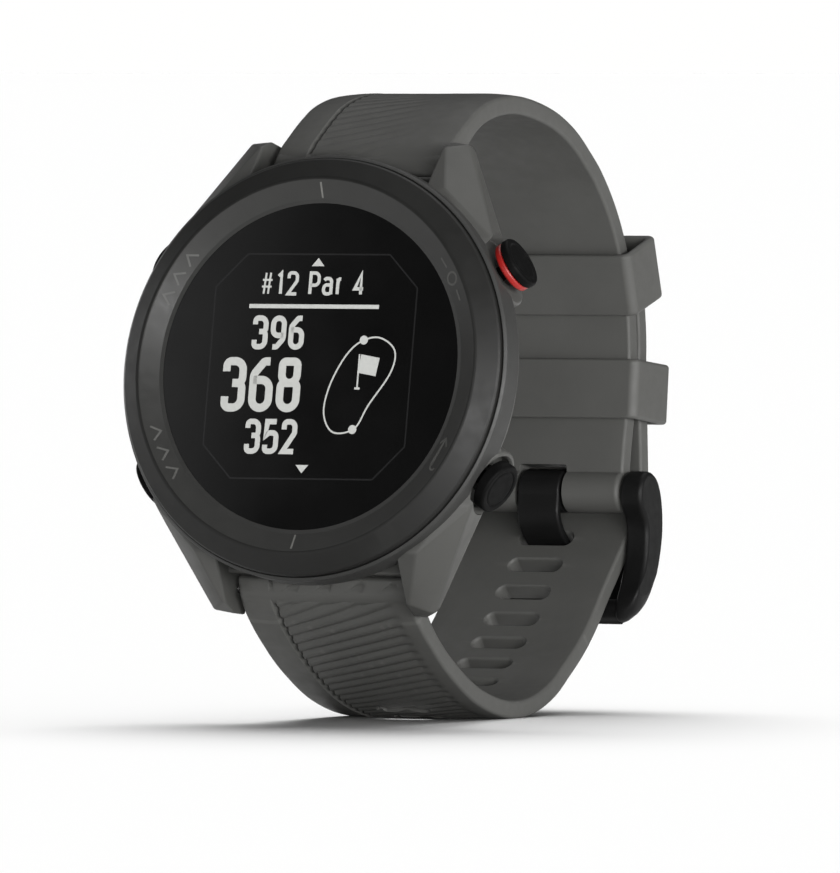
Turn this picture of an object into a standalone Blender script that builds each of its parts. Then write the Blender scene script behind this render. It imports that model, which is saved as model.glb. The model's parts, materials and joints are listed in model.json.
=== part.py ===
"""Golf GPS watch, standing on its buckled strap.

Lengths are in millimetres and the helpers turn them into Blender's metres. Everything hangs from
one empty that leans the watch back: its +X is the three o'clock side, its +Y runs from the lens
towards the wrist and its +Z towards twelve o'clock. A place in a side view is a pair (y, z).
"""

import math

import bmesh
import bpy
from mathutils import Matrix, Vector

MM = 0.001
LEAN_DEG = 10.0

# Case, turned about the Y axis. A turned outline is a list of (radius, y).
CASE_R = 21.85
CASE_FOOT_R = 18.8
CASE_SHELF_Y = 1.6
CASE_TAPER_Y = 3.6
CASE_BACK_Y = 9.6
CAVITY_R = 17.4
BOARD_R = 15.8
LENS_R = 16.8
LENS_Y = 1.0
BEZEL_R = 21.4
BEZEL_CREST_R = 19.15
BEZEL_CREST_Y = -1.1
COVER_Y = 10.4
LUG_INNER_X = 10.3
LUG_HALF_SPAN = 24.3

# Buttons, on rays from the case centre at this depth.
BUTTON_Y = 5.3
BUTTONS = {"up": 150.0, "ok": 30.0, "down": 210.0, "back": -30.0}
BUTTON_R = 2.7
BUTTON_FACE = 22.6
OK_FACE = 23.6
STEM_R = 0.75
STEM_END = 16.7
BORE_R = 1.5
RECESS_FLOOR = 20.6
BOSS_R = 3.6
BOSS_FACE = 21.9
OK_BOSS_FACE = 21.2

# Rear cover screws.
SCREW_RING_R = 14.9
SCREW_ANGLES = (55.0, 125.0, 235.0, 305.0)

# Strap. Its centre lines are side views, and its thickness lies half each side of them.
STRAP_T = 2.2
STRAP_LUG_HALF = 9.75
STRAP_BUCKLE_HALF = 9.25
SPRING_BAR = (8.2, 21.6)
SPRING_BAR_R = 0.9
ROLL_R = 1.65
BACK_CENTRE = (29.5, 6.0)
BACK_R = 24.6
TAIL_R = 27.05
SLOT_PITCH = 3.85
SLOTS_BEFORE_TONGUE = 10
SLOTS_AFTER_TONGUE = 4
TONGUE_SLOT = (56.1, -9.7)
SLOT_HALF_WIDTH = 3.0
SLOT_HALF_HEIGHT = 0.95

# Buckle, hung on its bar.
BAR = (54.6, -4.3)
BAR_R = 0.8
BAR_HOLE_R = 0.87
BAR_ROLL_R = 2.25
ARM_INNER_X = 9.6
ARM_OUTER_X = 12.0
OUTER_BAR = (54.7, -16.7)
OUTER_BAR_R = 1.15
BLADE_T = 0.95
TONGUE_HALF = 2.4
NOTCH_HALF = 2.75

# Keepers, square rings round both strap ends.
KEEPER_HALF = 10.5
KEEPER_BORE_HALF = 9.7
FREE_KEEPER_DEG = 27.5

SEGMENTS = 24
CASE_SEGMENTS = 60

FINISHES = {
    "case_polymer": ((0.085, 0.085, 0.082), 0.55, 0.0),
    "bezel_polymer": ((0.024, 0.024, 0.023), 0.4, 0.0),
    "lens": ((0.004, 0.004, 0.005), 0.08, 0.0),
    "silicone": ((0.09, 0.09, 0.087), 0.7, 0.0),
    "black_polymer": ((0.008, 0.008, 0.008), 0.35, 0.0),
    "red_polymer": ((0.75, 0.02, 0.01), 0.4, 0.0),
    "steel": ((0.45, 0.45, 0.45), 0.3, 1.0),
    "gold": ((0.8, 0.55, 0.2), 0.3, 1.0),
    "board": ((0.01, 0.08, 0.03), 0.5, 0.0),
    "foil": ((0.55, 0.55, 0.57), 0.4, 1.0),
    "ceramic": ((0.6, 0.56, 0.48), 0.5, 0.0),
    "display": ((0.02, 0.025, 0.02), 0.15, 0.0),
    "seal": ((0.02, 0.02, 0.02), 0.8, 0.0),
}

parts = None
cutters = None
root = None


# ---------------------------------------------------------------- helpers

def clear_scene():
    for obj in list(bpy.data.objects):
        bpy.data.objects.remove(obj, do_unlink=True)


def new_collection(name):
    collection = bpy.data.collections.new(name)
    bpy.context.scene.collection.children.link(collection)
    return collection


def new_material(name, finish):
    colour, roughness, metallic = FINISHES[finish]
    material = bpy.data.materials.new(f"{name}_{finish}")
    material.use_nodes = True
    shader = material.node_tree.nodes["Principled BSDF"]
    shader.inputs["Base Color"].default_value = (*colour, 1.0)
    shader.inputs["Roughness"].default_value = roughness
    shader.inputs["Metallic"].default_value = metallic
    return material


def add_mesh(name, mesh, finish, location=(0, 0, 0), rotation=(0, 0, 0)):
    """Put a mesh in the watch's frame. With no finish it's a cutter."""
    obj = bpy.data.objects.new(name, mesh)
    obj.parent = root
    obj.location = [value * MM for value in location]
    obj.rotation_euler = [math.radians(angle) for angle in rotation]
    if finish is None:
        obj.hide_render = True
        obj.display_type = "WIRE"
        cutters.objects.link(obj)
    else:
        mesh.materials.append(new_material(name, finish))
        mesh.shade_smooth()
        mesh.set_sharp_from_angle(angle=math.radians(30))
        parts.objects.link(obj)
    return obj


def mesh_from(bm, name):
    bmesh.ops.scale(bm, vec=(MM, MM, MM), verts=bm.verts)
    bmesh.ops.recalc_face_normals(bm, faces=bm.faces)
    mesh = bpy.data.meshes.new(name)
    bm.to_mesh(mesh)
    bm.free()
    return mesh


def block(name, size, finish, location=(0, 0, 0), rotation=(0, 0, 0), bevel=0.0):
    bm = bmesh.new()
    bmesh.ops.create_cube(bm, size=1.0)
    bmesh.ops.scale(bm, vec=size, verts=bm.verts)
    obj = add_mesh(name, mesh_from(bm, name), finish, location, rotation)
    if bevel:
        round_edges(obj, bevel)
    return obj


def rod(name, radius, ends, finish, location=(0, 0, 0), rotation=(0, 0, 0), segments=SEGMENTS):
    """A cylinder along the object's Z axis, between two heights."""
    bm = bmesh.new()
    low, high = ends
    bmesh.ops.create_cone(
        bm,
        cap_ends=True,
        segments=segments,
        radius1=radius,
        radius2=radius,
        depth=high - low,
        matrix=Matrix.Translation((0, 0, (low + high) / 2)),
    )
    return add_mesh(name, mesh_from(bm, name), finish, location, rotation)


def turned(name, outline, finish, location=(0, 0, 0), rotation=(90, 0, 0), closed=True,
           segments=SEGMENTS):
    """A Screw about Z. The outline is (radius, z) and runs down the outer side.

    With the default rotation the object's Z is the watch's -Y, so an outline that is written
    as (radius, depth behind the lens) is passed through front_to_back first.
    """
    bm = bmesh.new()
    points = [bm.verts.new((radius, 0.0, z)) for radius, z in outline]
    for first, second in zip(points, points[1:]):
        bm.edges.new((first, second))
    if closed:
        bm.edges.new((points[-1], points[0]))
    bmesh.ops.scale(bm, vec=(MM, MM, MM), verts=bm.verts)
    mesh = bpy.data.meshes.new(name)
    bm.to_mesh(mesh)
    bm.free()
    obj = add_mesh(name, mesh, finish, location, rotation)
    screw = obj.modifiers.new("turn", "SCREW")
    screw.steps = segments
    screw.render_steps = segments
    screw.use_merge_vertices = True
    screw.merge_threshold = 0.00001
    return obj


def front_to_back(outline):
    return [(radius, -depth) for radius, depth in outline]


def torus(name, major, minor, finish, location, rotation):
    outline = []
    for step in range(6):
        angle = math.radians(90 - 60 * step)
        outline.append((major + minor * math.cos(angle), minor * math.sin(angle)))
    return turned(name, outline, finish, location, rotation)


def prism(name, outline, x_range, finish, location=(0, 0, 0)):
    """Extrude a side-view outline of (y, z) points across the watch."""
    bm = bmesh.new()
    low, high = x_range
    face = bm.faces.new([bm.verts.new((low, y, z)) for y, z in outline])
    grown = bmesh.ops.extrude_face_region(bm, geom=[face])
    moved = [item for item in grown["geom"] if isinstance(item, bmesh.types.BMVert)]
    bmesh.ops.translate(bm, vec=(high - low, 0, 0), verts=moved)
    return add_mesh(name, mesh_from(bm, name), finish, location)


def round_edges(obj, width, segments=2, angle=40):
    bevel = obj.modifiers.new("round", "BEVEL")
    bevel.width = width * MM
    bevel.segments = segments
    bevel.limit_method = "ANGLE"
    bevel.angle_limit = math.radians(angle)
    return bevel


def combine(obj, other, operation="DIFFERENCE"):
    boolean = obj.modifiers.new(f"{operation.lower()}_{other.name}"[:59], "BOOLEAN")
    boolean.operation = operation
    boolean.object = other
    boolean.solver = "EXACT"


def polar(radius, degrees):
    angle = math.radians(degrees)
    return (radius * math.cos(angle), radius * math.sin(angle))


def on_back_arc(radius, degrees):
    y, z = polar(radius, degrees)
    return (BACK_CENTRE[0] + y, BACK_CENTRE[1] + z)


# ---------------------------------------------------------------- case

def make_lugs():
    """Four faceted horns, each the hull of its corners, made as one cutter to join on."""
    corners = [
        (LUG_INNER_X, 1.9, 18.3), (14.9, 1.9, 15.6), (19.3, 2.4, 11.4), (20.6, 3.4, 7.2),
        (LUG_INNER_X, 5.4, 23.4), (12.5, 5.4, 22.9),
        (LUG_INNER_X, 7.4, LUG_HALF_SPAN), (12.7, 7.4, 23.6),
        (LUG_INNER_X, 9.9, LUG_HALF_SPAN - 0.2), (11.7, 9.8, 23.1),
        (19.8, 5.6, 9.6), (16.8, 8.8, 9.4),
        (LUG_INNER_X, 9.4, 15.5), (LUG_INNER_X, 2.6, 15.5), (17.0, 2.6, 9.0),
    ]
    bm = bmesh.new()
    for side in (1, -1):
        for end in (1, -1):
            verts = [bm.verts.new((side * x, y, end * z)) for x, y, z in corners]
            bmesh.ops.convex_hull(bm, input=verts)
    loose = [vert for vert in bm.verts if not vert.link_faces]
    bmesh.ops.delete(bm, geom=loose, context="VERTS")
    return add_mesh("lugs", mesh_from(bm, "lugs"), None)


def make_case_shell():
    outline = [
        (15.1, CASE_SHELF_Y),
        (BEZEL_R + 0.1, CASE_SHELF_Y),
        (BEZEL_R + 0.1, 0.75),
        (BEZEL_R + 0.25, 0.6),
        (CASE_R, 0.8),
        (CASE_R, CASE_TAPER_Y),
        (CASE_FOOT_R, CASE_BACK_Y - 0.2),
        (CASE_FOOT_R - 0.2, CASE_BACK_Y),
        (CAVITY_R, CASE_BACK_Y),
        (CAVITY_R, 2.6),
        (15.1, 2.6),
    ]
    shell = turned("case_shell", front_to_back(outline), "case_polymer", segments=CASE_SEGMENTS)
    combine(shell, make_lugs(), "UNION")
    for name, degrees in BUTTONS.items():
        boss = rod(f"boss_{name}", BOSS_R, (18.5, BOSS_FACE), None,
                   (0, BUTTON_Y, 0), (0, 90 - degrees, 0), 32)
        combine(shell, boss, "UNION")
    for number, degrees in enumerate(SCREW_ANGLES):
        x, z = polar(SCREW_RING_R, degrees)
        pillar = rod(f"pillar_{number}", 2.7, (-8.5, -5.6), None, (x, 0, z), (90, 0, 0))
        combine(shell, pillar, "UNION")
        pilot = rod(f"pilot_{number}", 0.65, (-9.0, -6.0), None, (x, 0, z), (90, 0, 0), 12)
        combine(shell, pilot)
    for name, degrees in BUTTONS.items():
        turn = (0, 90 - degrees, 0)
        place = (0, BUTTON_Y, 0)
        bore = rod(f"bore_{name}", BORE_R, (16.0, 22.0), None, place, turn)
        combine(shell, bore)
        pocket = rod(f"clip_pocket_{name}", 2.3, (15.0, 18.0), None, place, turn)
        combine(shell, pocket)
        if name == "ok":
            spot_face = rod("spot_face_ok", BOSS_R + 0.2, (OK_BOSS_FACE, 26.0), None, place, turn, 32)
            combine(shell, spot_face)
        else:
            recess = rod(f"recess_{name}", BUTTON_R + 0.25, (RECESS_FLOOR, 26.0), None,
                         place, turn, 32)
            combine(shell, recess)
    for name, sign in (("upper", 1), ("lower", -1)):
        place = (0, SPRING_BAR[0], sign * SPRING_BAR[1])
        hole = rod(f"lug_holes_{name}", 0.55, (-11.4, 11.4), None, place, (0, 90, 0), 16)
        combine(shell, hole)
    return shell


def make_front():
    bezel = [
        (LENS_R + 0.15, 0.02),
        (LENS_R + 0.35, -0.12),
        (BEZEL_CREST_R - 0.2, BEZEL_CREST_Y + 0.08),
        (BEZEL_CREST_R, BEZEL_CREST_Y),
        (BEZEL_CREST_R + 0.25, BEZEL_CREST_Y + 0.08),
        (BEZEL_R - 0.15, 0.1),
        (BEZEL_R, 0.3),
        (BEZEL_R, CASE_SHELF_Y - 0.05),
        (LENS_R + 0.15, CASE_SHELF_Y - 0.05),
    ]
    turned("bezel_ring", front_to_back(bezel), "bezel_polymer", segments=CASE_SEGMENTS)
    lens = [(0, 0), (LENS_R - 0.15, 0), (LENS_R, 0.15), (LENS_R, LENS_Y), (0, LENS_Y)]
    turned("lens", front_to_back(lens), "lens", closed=False, segments=CASE_SEGMENTS)
    seal = [(15.4, 1.05), (16.6, 1.05), (16.6, CASE_SHELF_Y - 0.05), (15.4, CASE_SHELF_Y - 0.05)]
    turned("lens_seal", front_to_back(seal), "seal", segments=32)
    half = 11.8
    corner = 3.5
    cut = half - corner
    outline = [(cut, half), (half, cut), (half, -cut), (cut, -half),
               (-cut, -half), (-half, -cut), (-half, cut), (-cut, half)]
    bm = bmesh.new()
    face = bm.faces.new([bm.verts.new((x, 1.1, z)) for x, z in outline])
    grown = bmesh.ops.extrude_face_region(bm, geom=[face])
    moved = [item for item in grown["geom"] if isinstance(item, bmesh.types.BMVert)]
    bmesh.ops.translate(bm, vec=(0, 1.45, 0), verts=moved)
    add_mesh("display_panel", mesh_from(bm, "display_panel"), "display")


def make_inside():
    tray = [(5.0, 2.85), (16.4, 2.85), (16.4, 3.8), (15.4, 3.8), (15.4, 3.4), (5.0, 3.4)]
    turned("inner_frame", front_to_back(tray), "black_polymer", segments=32)
    board = [(0, 3.95), (BOARD_R, 3.95), (BOARD_R, 4.75), (0, 4.75)]
    turned("main_board", front_to_back(board), "board", closed=False, segments=32)
    block("battery_cell", (20.0, 3.4, 17.0), "foil", (0, 6.6, -0.4), bevel=0.6)
    block("gps_antenna", (10.8, 3.0, 3.8), "ceramic", (0, 6.4, 12.1), bevel=0.2)
    for name, degrees in BUTTONS.items():
        x, z = polar(15.0, degrees)
        block(f"switch_{name}", (2.0, 2.1, 3.0), "steel", (x, 5.9, z), (0, -degrees, 0), 0.15)


def make_rear_cover():
    outline = [
        (0, 8.6),
        (17.1, 8.6),
        (17.1, 8.95),
        (16.3, 8.95),
        (16.3, 9.45),
        (17.1, 9.45),
        (17.1, CASE_BACK_Y + 0.05),
        (18.3, CASE_BACK_Y + 0.05),
        (18.3, 9.95),
        (17.6, COVER_Y),
        (0, COVER_Y),
    ]
    cover = turned("rear_cover", front_to_back(outline), "case_polymer", closed=False,
                   segments=CASE_SEGMENTS)
    torus("rear_seal", 16.85, 0.22, "seal", (0, 9.2, 0), (90, 0, 0))
    for number, degrees in enumerate(SCREW_ANGLES):
        x, z = polar(SCREW_RING_R, degrees)
        place = (x, 0, z)
        turn = (90, 0, 0)
        combine(cover, rod(f"screw_hole_{number}", 0.72, (-11, -8), None, place, turn, 16))
        combine(cover, rod(f"screw_sink_{number}", 1.3, (-11, -9.5), None, place, turn, 16))
        screw = [(0, -6.2), (0.55, -6.2), (0.55, -9.55), (1.15, -9.55), (1.15, -10.25), (0, -10.25)]
        head = turned(f"rear_screw_{number + 1}", screw, "steel", place, turn, closed=False,
                      segments=16)
        combine(head, block(f"drive_slot_{number}", (1.7, 0.6, 0.35), None, (x, COVER_Y, z)))
    combine(cover, block("contact_pocket", (7.6, 2.0, 3.4), None, (0, 10.5, -10.4)))
    block("contact_block", (7.0, 0.4, 2.8), "black_polymer", (0, 9.76, -10.4), bevel=0.1)
    for number in range(4):
        x = 1.7 * (number - 1.5)
        rod(f"contact_pin_{number + 1}", 0.5, (-10.3, -10.0), "gold", (x, 0, -10.4), (90, 0, 0), 16)


# ---------------------------------------------------------------- buttons

def make_button(name, degrees):
    """Cap and stem in one piece, its clip inside the case and its seal in the bore."""
    place = (0, BUTTON_Y, 0)
    turn = (0, 90 - degrees, 0)
    is_ok = name == "ok"
    face = OK_FACE if is_ok else BUTTON_FACE
    under = face - (0.85 if is_ok else 1.25)
    outline = [
        (0, face),
        (BUTTON_R - 0.4, face),
        (BUTTON_R - 0.1, face - 0.12),
        (BUTTON_R, face - 0.35),
        (BUTTON_R, under),
        (STEM_R, under),
        (STEM_R, 17.85),
        (0.55, 17.85),
        (0.55, 17.25),
        (STEM_R, 17.25),
        (STEM_R, STEM_END),
        (0, STEM_END),
    ]
    turned(f"button_{name}", outline, "black_polymer", place, turn, closed=False)
    clip = [(0.62, 17.8), (2.0, 17.8), (2.0, 17.3), (0.62, 17.3)]
    turned(f"button_clip_{name}", clip, "steel", place, turn)
    x, z = polar(19.3, degrees)
    torus(f"button_seal_{name}", 1.14, 0.27, "seal", (x, BUTTON_Y, z), turn)
    if is_ok:
        ring = [(0.85, 22.65), (2.5, 22.65), (2.62, 22.5), (2.62, 22.1), (2.5, 21.95), (0.85, 21.95)]
        turned("ok_accent_ring", ring, "red_polymer", place, turn)


# ---------------------------------------------------------------- strap

def spline(points, step=2.4):
    """A Catmull-Rom curve through the points, with a point about every step."""
    points = [Vector(point) for point in points]
    ends = [2 * points[0] - points[1], *points, 2 * points[-1] - points[-2]]
    path = []
    for before, start, end, after in zip(ends, ends[1:], ends[2:], ends[3:]):
        count = max(1, round((end - start).length / step))
        for index in range(count):
            t = index / count
            bend = 2 * before - 5 * start + 4 * end - after
            twist = 3 * start - before - 3 * end + after
            path.append(0.5 * (2 * start + (end - before) * t + bend * t * t + twist * t ** 3))
    path.append(points[-1])
    return path


def band_section(half_width, thickness, corner=0.6):
    """A rounded rectangle as (x, offset) pairs, with offset across the thickness."""
    corner = min(corner, half_width * 0.9, thickness * 0.45)
    section = []
    for sign_x, sign_n, start in ((1, 1, 0), (-1, 1, 90), (-1, -1, 180), (1, -1, 270)):
        centre_x = sign_x * (half_width - corner)
        centre_n = sign_n * (thickness / 2 - corner)
        for step in (0, 45, 90):
            x, n = polar(corner, start + step)
            section.append((centre_x + x, centre_n + n))
    return section


def path_normals(path):
    normals = []
    for index in range(len(path)):
        ahead = path[min(index + 1, len(path) - 1)]
        behind = path[max(index - 1, 0)]
        along = (ahead - behind).normalized()
        normals.append(Vector((along.y, -along.x)))
    return normals


def path_lengths(path):
    lengths = [0.0]
    for first, second in zip(path, path[1:]):
        lengths.append(lengths[-1] + (second - first).length)
    return lengths


def band(name, path, half_widths, thicknesses, finish, floor=None, origin=(0, 0)):
    """Loft rounded sections along a side-view path. floor(y) is the lowest z it may reach."""
    bm = bmesh.new()
    rings = []
    for point, normal, half, thick in zip(path, path_normals(path), half_widths, thicknesses):
        ring = []
        for x, offset in band_section(half, thick):
            y = point.x + normal.x * offset
            z = point.y + normal.y * offset
            if floor:
                z = max(z, floor(y))
            ring.append(bm.verts.new((x, y - origin[0], z - origin[1])))
        rings.append(ring)
    for first, second in zip(rings, rings[1:]):
        for index in range(len(first)):
            after = (index + 1) % len(first)
            bm.faces.new((first[index], first[after], second[after], second[index]))
    bm.faces.new(rings[0])
    bm.faces.new(rings[-1])
    return add_mesh(name, mesh_from(bm, name), finish, (0, *origin))


def ease(value, low, high):
    """0 before low, 1 after high and straight between them."""
    return min(1.0, max(0.0, (value - low) / (high - low)))


def lug_end(strap, sign):
    """The moulded eye round the spring bar, and the slot for its release lever."""
    place = (0, SPRING_BAR[0], sign * SPRING_BAR[1])
    name = strap.name
    eye = rod(f"{name}_eye", ROLL_R, (-STRAP_LUG_HALF + 0.1, STRAP_LUG_HALF - 0.1), None,
              place, (0, 90, 0))
    combine(strap, eye, "UNION")
    combine(strap, rod(f"{name}_bar_hole", SPRING_BAR_R + 0.12, (-12, 12), None, place, (0, 90, 0)))
    lever_turn = (sign * 47.0, 0, 0)
    slot = block(f"{name}_lever_slot", (3.4, 1.5, 3.0), None,
                 (7.0, SPRING_BAR[0] + 1.02, sign * (SPRING_BAR[1] - 1.1)), lever_turn)
    combine(strap, slot)


def buckle_side_path():
    lug_and_crown = [(6.35, 21.9), (10.0, 25.4), (14.6, 28.5), (21.6, 30.7), (29.7, 31.0),
                     (36.0, 29.9)]
    arc = [on_back_arc(BACK_R, degrees) for degrees in range(62, 5, -7)]
    return spline(lug_and_crown + arc + [(54.3, 4.0), (54.2, 0.2), (54.3, -3.0)])


def hole_side_path():
    lug_and_floor = [(6.35, -21.9), (12.9, -26.0), (17.6, -28.1), (23.9, -30.0), (30.8, -30.5),
                     (36.4, -29.5), (41.2, -27.2), (44.5, -24.5), (47.5, -21.7), (50.0, -18.7),
                     (52.1, -15.5), (54.2, -12.5), TONGUE_SLOT, (58.3, -5.9), (58.95, -3.9)]
    run_up = [(58.7, -1.6), (57.6, 3.6)]
    arc = [on_back_arc(TAIL_R, degrees) for degrees in range(7, 32, 4)]
    return spline(lug_and_floor + run_up + arc, 2.0)


def make_buckle_side():
    path = buckle_side_path()
    lengths = path_lengths(path)
    total = lengths[-1]
    halves = [STRAP_LUG_HALF + (STRAP_BUCKLE_HALF - STRAP_LUG_HALF) * ease(s, 10, 0.5 * total)
              for s in lengths]
    thicknesses = [STRAP_T + 1.0 * (1 - ease(s, 0, 9)) for s in lengths]
    strap = band("strap_buckle_side", path, halves, thicknesses, "silicone")
    lug_end(strap, 1)
    place = (0, *BAR)
    end = rod("buckle_eye", BAR_ROLL_R, (-STRAP_BUCKLE_HALF, STRAP_BUCKLE_HALF), None,
              place, (0, 90, 0), 32)
    combine(strap, end, "UNION")
    combine(strap, rod("buckle_bar_hole", BAR_HOLE_R + 0.05, (-12, 12), None, place, (0, 90, 0)))
    notch = block("tongue_notch", (2 * NOTCH_HALF, 9.0, 6.1), None, (0, BAR[0], BAR[1] - 0.45))
    combine(strap, notch)
    return strap


def make_hole_side():
    path = hole_side_path()
    lengths = path_lengths(path)
    total = lengths[-1]
    halves = []
    for s in lengths:
        taper = STRAP_LUG_HALF + (STRAP_BUCKLE_HALF - 0.1 - STRAP_LUG_HALF) * ease(s, 10, 0.55 * total)
        tip = ease(s, total - 5.0, total)
        halves.append(taper * math.sqrt(1 - 0.8 * tip * tip))
    thicknesses = [STRAP_T - 0.1 + 1.0 * (1 - ease(s, 0, 9)) for s in lengths]
    lean = math.radians(LEAN_DEG)
    floor_point = (33.0, -31.08)

    def floor(y):
        return floor_point[1] + (y - floor_point[0]) * math.tan(lean)

    strap = band("strap_hole_side", path, halves, thicknesses, "silicone", floor)
    lug_end(strap, -1)
    normals = path_normals(path)
    tongue_at = min(range(len(path)), key=lambda index: (path[index] - Vector(TONGUE_SLOT)).length)
    for number in range(-SLOTS_BEFORE_TONGUE, SLOTS_AFTER_TONGUE + 1):
        wanted = lengths[tongue_at] + number * SLOT_PITCH
        index = max(i for i in range(len(path)) if lengths[i] <= wanted)
        along = (wanted - lengths[index]) / (lengths[index + 1] - lengths[index])
        point = path[index].lerp(path[index + 1], along)
        normal = normals[index].lerp(normals[index + 1], along)
        tilt = math.degrees(math.atan2(normal.y, normal.x))
        size = (2 * SLOT_HALF_WIDTH, 6.0, 2 * SLOT_HALF_HEIGHT)
        slot = block(f"slot_{number + SLOTS_BEFORE_TONGUE + 1}", size, None,
                     (0, point.x, point.y), (tilt, 0, 0), 0.7)
        combine(strap, slot)
    return strap


def make_spring_bar(name, sign):
    """Quick-release bar: a fixed pin at one end and a sprung pin with a lever at the other."""
    place = (0, SPRING_BAR[0], sign * SPRING_BAR[1])
    turn = (0, 90, 0)
    tube = [(0, 4.6), (0.55, 4.6), (0.55, 9.6), (SPRING_BAR_R, 9.6), (SPRING_BAR_R, -9.6),
            (0.45, -9.6), (0.45, -10.9), (0, -10.9)]
    bar = turned(f"spring_bar_{name}", tube, "steel", place, turn, closed=False, segments=16)
    lever_turn = (sign * 47.0, 0, 0)
    reach = math.radians(47.0)
    centre = (7.0, SPRING_BAR[0] + 0.75 * math.sin(reach), sign * (SPRING_BAR[1] - 0.75 * math.cos(reach)))
    slot = block(f"lever_slot_{name}", (3.0, 1.0, 1.5), None, centre, lever_turn)
    combine(bar, slot)
    pin = rod(f"release_pin_{name}", 0.45, (6.3, 10.9), "steel", place, turn, 16)
    lever_centre = (7.7, SPRING_BAR[0] + 1.2 * math.sin(reach),
                    sign * (SPRING_BAR[1] - 1.2 * math.cos(reach)))
    lever = block(f"lever_{name}", (0.9, 0.7, 2.4), None, lever_centre, lever_turn)
    combine(pin, lever, "UNION")


# ---------------------------------------------------------------- buckle and keepers

def make_buckle():
    place = (0, *BAR)
    turn = (0, 90, 0)
    rod("buckle_bar", BAR_R, (-11.1, 11.1), "steel", place, turn)
    side_view = [(52.4, -3.9), (53.2, -2.6), (54.6, -2.2), (56.3, -2.9), (57.6, -4.9), (58.3, -7.9),
                 (58.1, -11.1), (57.3, -14.1), (56.3, -16.7), (54.9, -18.0), (53.6, -17.6),
                 (53.4, -16.0), (54.3, -13.2), (54.8, -10.4), (54.4, -7.8), (52.7, -5.8)]
    outline = [(y - BAR[0], z - BAR[1]) for y, z in side_view]
    frame = prism("buckle_frame", outline, (ARM_INNER_X, ARM_OUTER_X), "black_polymer", place)
    far_arm = prism("far_arm", outline, (-ARM_OUTER_X, -ARM_INNER_X), None, place)
    combine(frame, far_arm, "UNION")
    outer_bar = rod("outer_bar", OUTER_BAR_R, (-ARM_INNER_X - 0.6, ARM_INNER_X + 0.6), None,
                    (0, *OUTER_BAR), turn)
    combine(frame, outer_bar, "UNION")
    combine(frame, rod("frame_bar_hole", BAR_HOLE_R, (-11.25, 11.25), None, place, turn))
    blade = spline([(52.9, -4.7), (53.1, -7.0), (54.3, -8.6), TONGUE_SLOT, (57.4, -11.0),
                    (57.75, -13.2), (57.2, -17.2)], 1.6)
    tongue = band("buckle_tongue", blade, [TONGUE_HALF] * len(blade), [BLADE_T] * len(blade),
                  "black_polymer", origin=BAR)
    hub = rod("tongue_hub", BAR_ROLL_R, (-TONGUE_HALF, TONGUE_HALF), None, place, turn, 32)
    combine(tongue, hub, "UNION")
    combine(tongue, rod("tongue_bar_hole", BAR_HOLE_R, (-3, 3), None, place, turn))


def make_keeper(name, centre, tilt, inner, outer, walls, length, slant=0.0):
    """A ring about the strap: inner and outer are its bore's two faces, from centre along its Y."""
    wall_in, wall_out = walls
    low = inner - wall_in
    high = outer + wall_out
    ring = block(name, (2 * KEEPER_HALF, high - low, length), "silicone",
                 (0, *centre), (tilt, 0, 0))
    for vert in ring.data.vertices:
        vert.co.y += (low + high) / 2 * MM
        if slant and vert.co.y > 0 and vert.co.z < 0:
            vert.co.z += slant * MM
    round_edges(ring, 0.5)
    bore = block(f"{name}_bore", (2 * KEEPER_BORE_HALF, outer - inner, length + 4), None,
                 (0, *centre), (tilt, 0, 0))
    for vert in bore.data.vertices:
        vert.co.y += (inner + outer) / 2 * MM
    combine(ring, bore)
    return ring


def make_keepers():
    make_keeper("keeper_fixed", (54.35, 6.3), 4.0, -1.5, 4.95, (0.6, 1.1), 6.2)
    free = make_keeper("keeper_sliding", BACK_CENTRE, FREE_KEEPER_DEG, BACK_R - 1.45, TAIL_R + 1.5,
                       (0.6, 1.1), 6.6)
    return free


# ---------------------------------------------------------------- the watch

def stand_on_floor():
    """Move the whole watch so that its box stands on z = 0 about the origin."""
    bpy.context.view_layer.update()
    graph = bpy.context.evaluated_depsgraph_get()
    low = Vector((1e9, 1e9, 1e9))
    high = -low
    for obj in parts.objects:
        evaluated = obj.evaluated_get(graph)
        mesh = evaluated.to_mesh()
        for vert in mesh.vertices:
            point = evaluated.matrix_world @ vert.co
            low = Vector(map(min, low, point))
            high = Vector(map(max, high, point))
        evaluated.to_mesh_clear()
    root.location = (-(low.x + high.x) / 2, -(low.y + high.y) / 2, -low.z)
    bpy.context.view_layer.update()


def main():
    global parts, cutters, root
    clear_scene()
    parts = new_collection("golf_gps_watch")
    cutters = new_collection("cutters")
    root = bpy.data.objects.new("watch_frame", None)
    root.rotation_euler = (math.radians(-LEAN_DEG), 0, 0)
    bpy.context.scene.collection.objects.link(root)
    make_case_shell()
    make_front()
    make_inside()
    make_rear_cover()
    for name, degrees in BUTTONS.items():
        make_button(name, degrees)
    make_buckle_side()
    make_hole_side()
    make_spring_bar("upper", 1)
    make_spring_bar("lower", -1)
    make_buckle()
    make_keepers()
    stand_on_floor()


main()
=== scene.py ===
"""Golf GPS watch standing on its buckled strap: the finished surfaces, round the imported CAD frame.

Lengths are millimetres in the watch's own frame: x towards three o'clock, y from the lens towards
the wrist and z towards twelve o'clock. publish() carries a piece into the row frame, in metres.
A place in a side view is a pair (y, z), and a turned outline is a list of (radius, y) points,
each with the radius of its rounding as an optional third number.
"""

import json
import math

import bmesh
import bpy
from mathutils import Matrix, Vector


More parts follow.
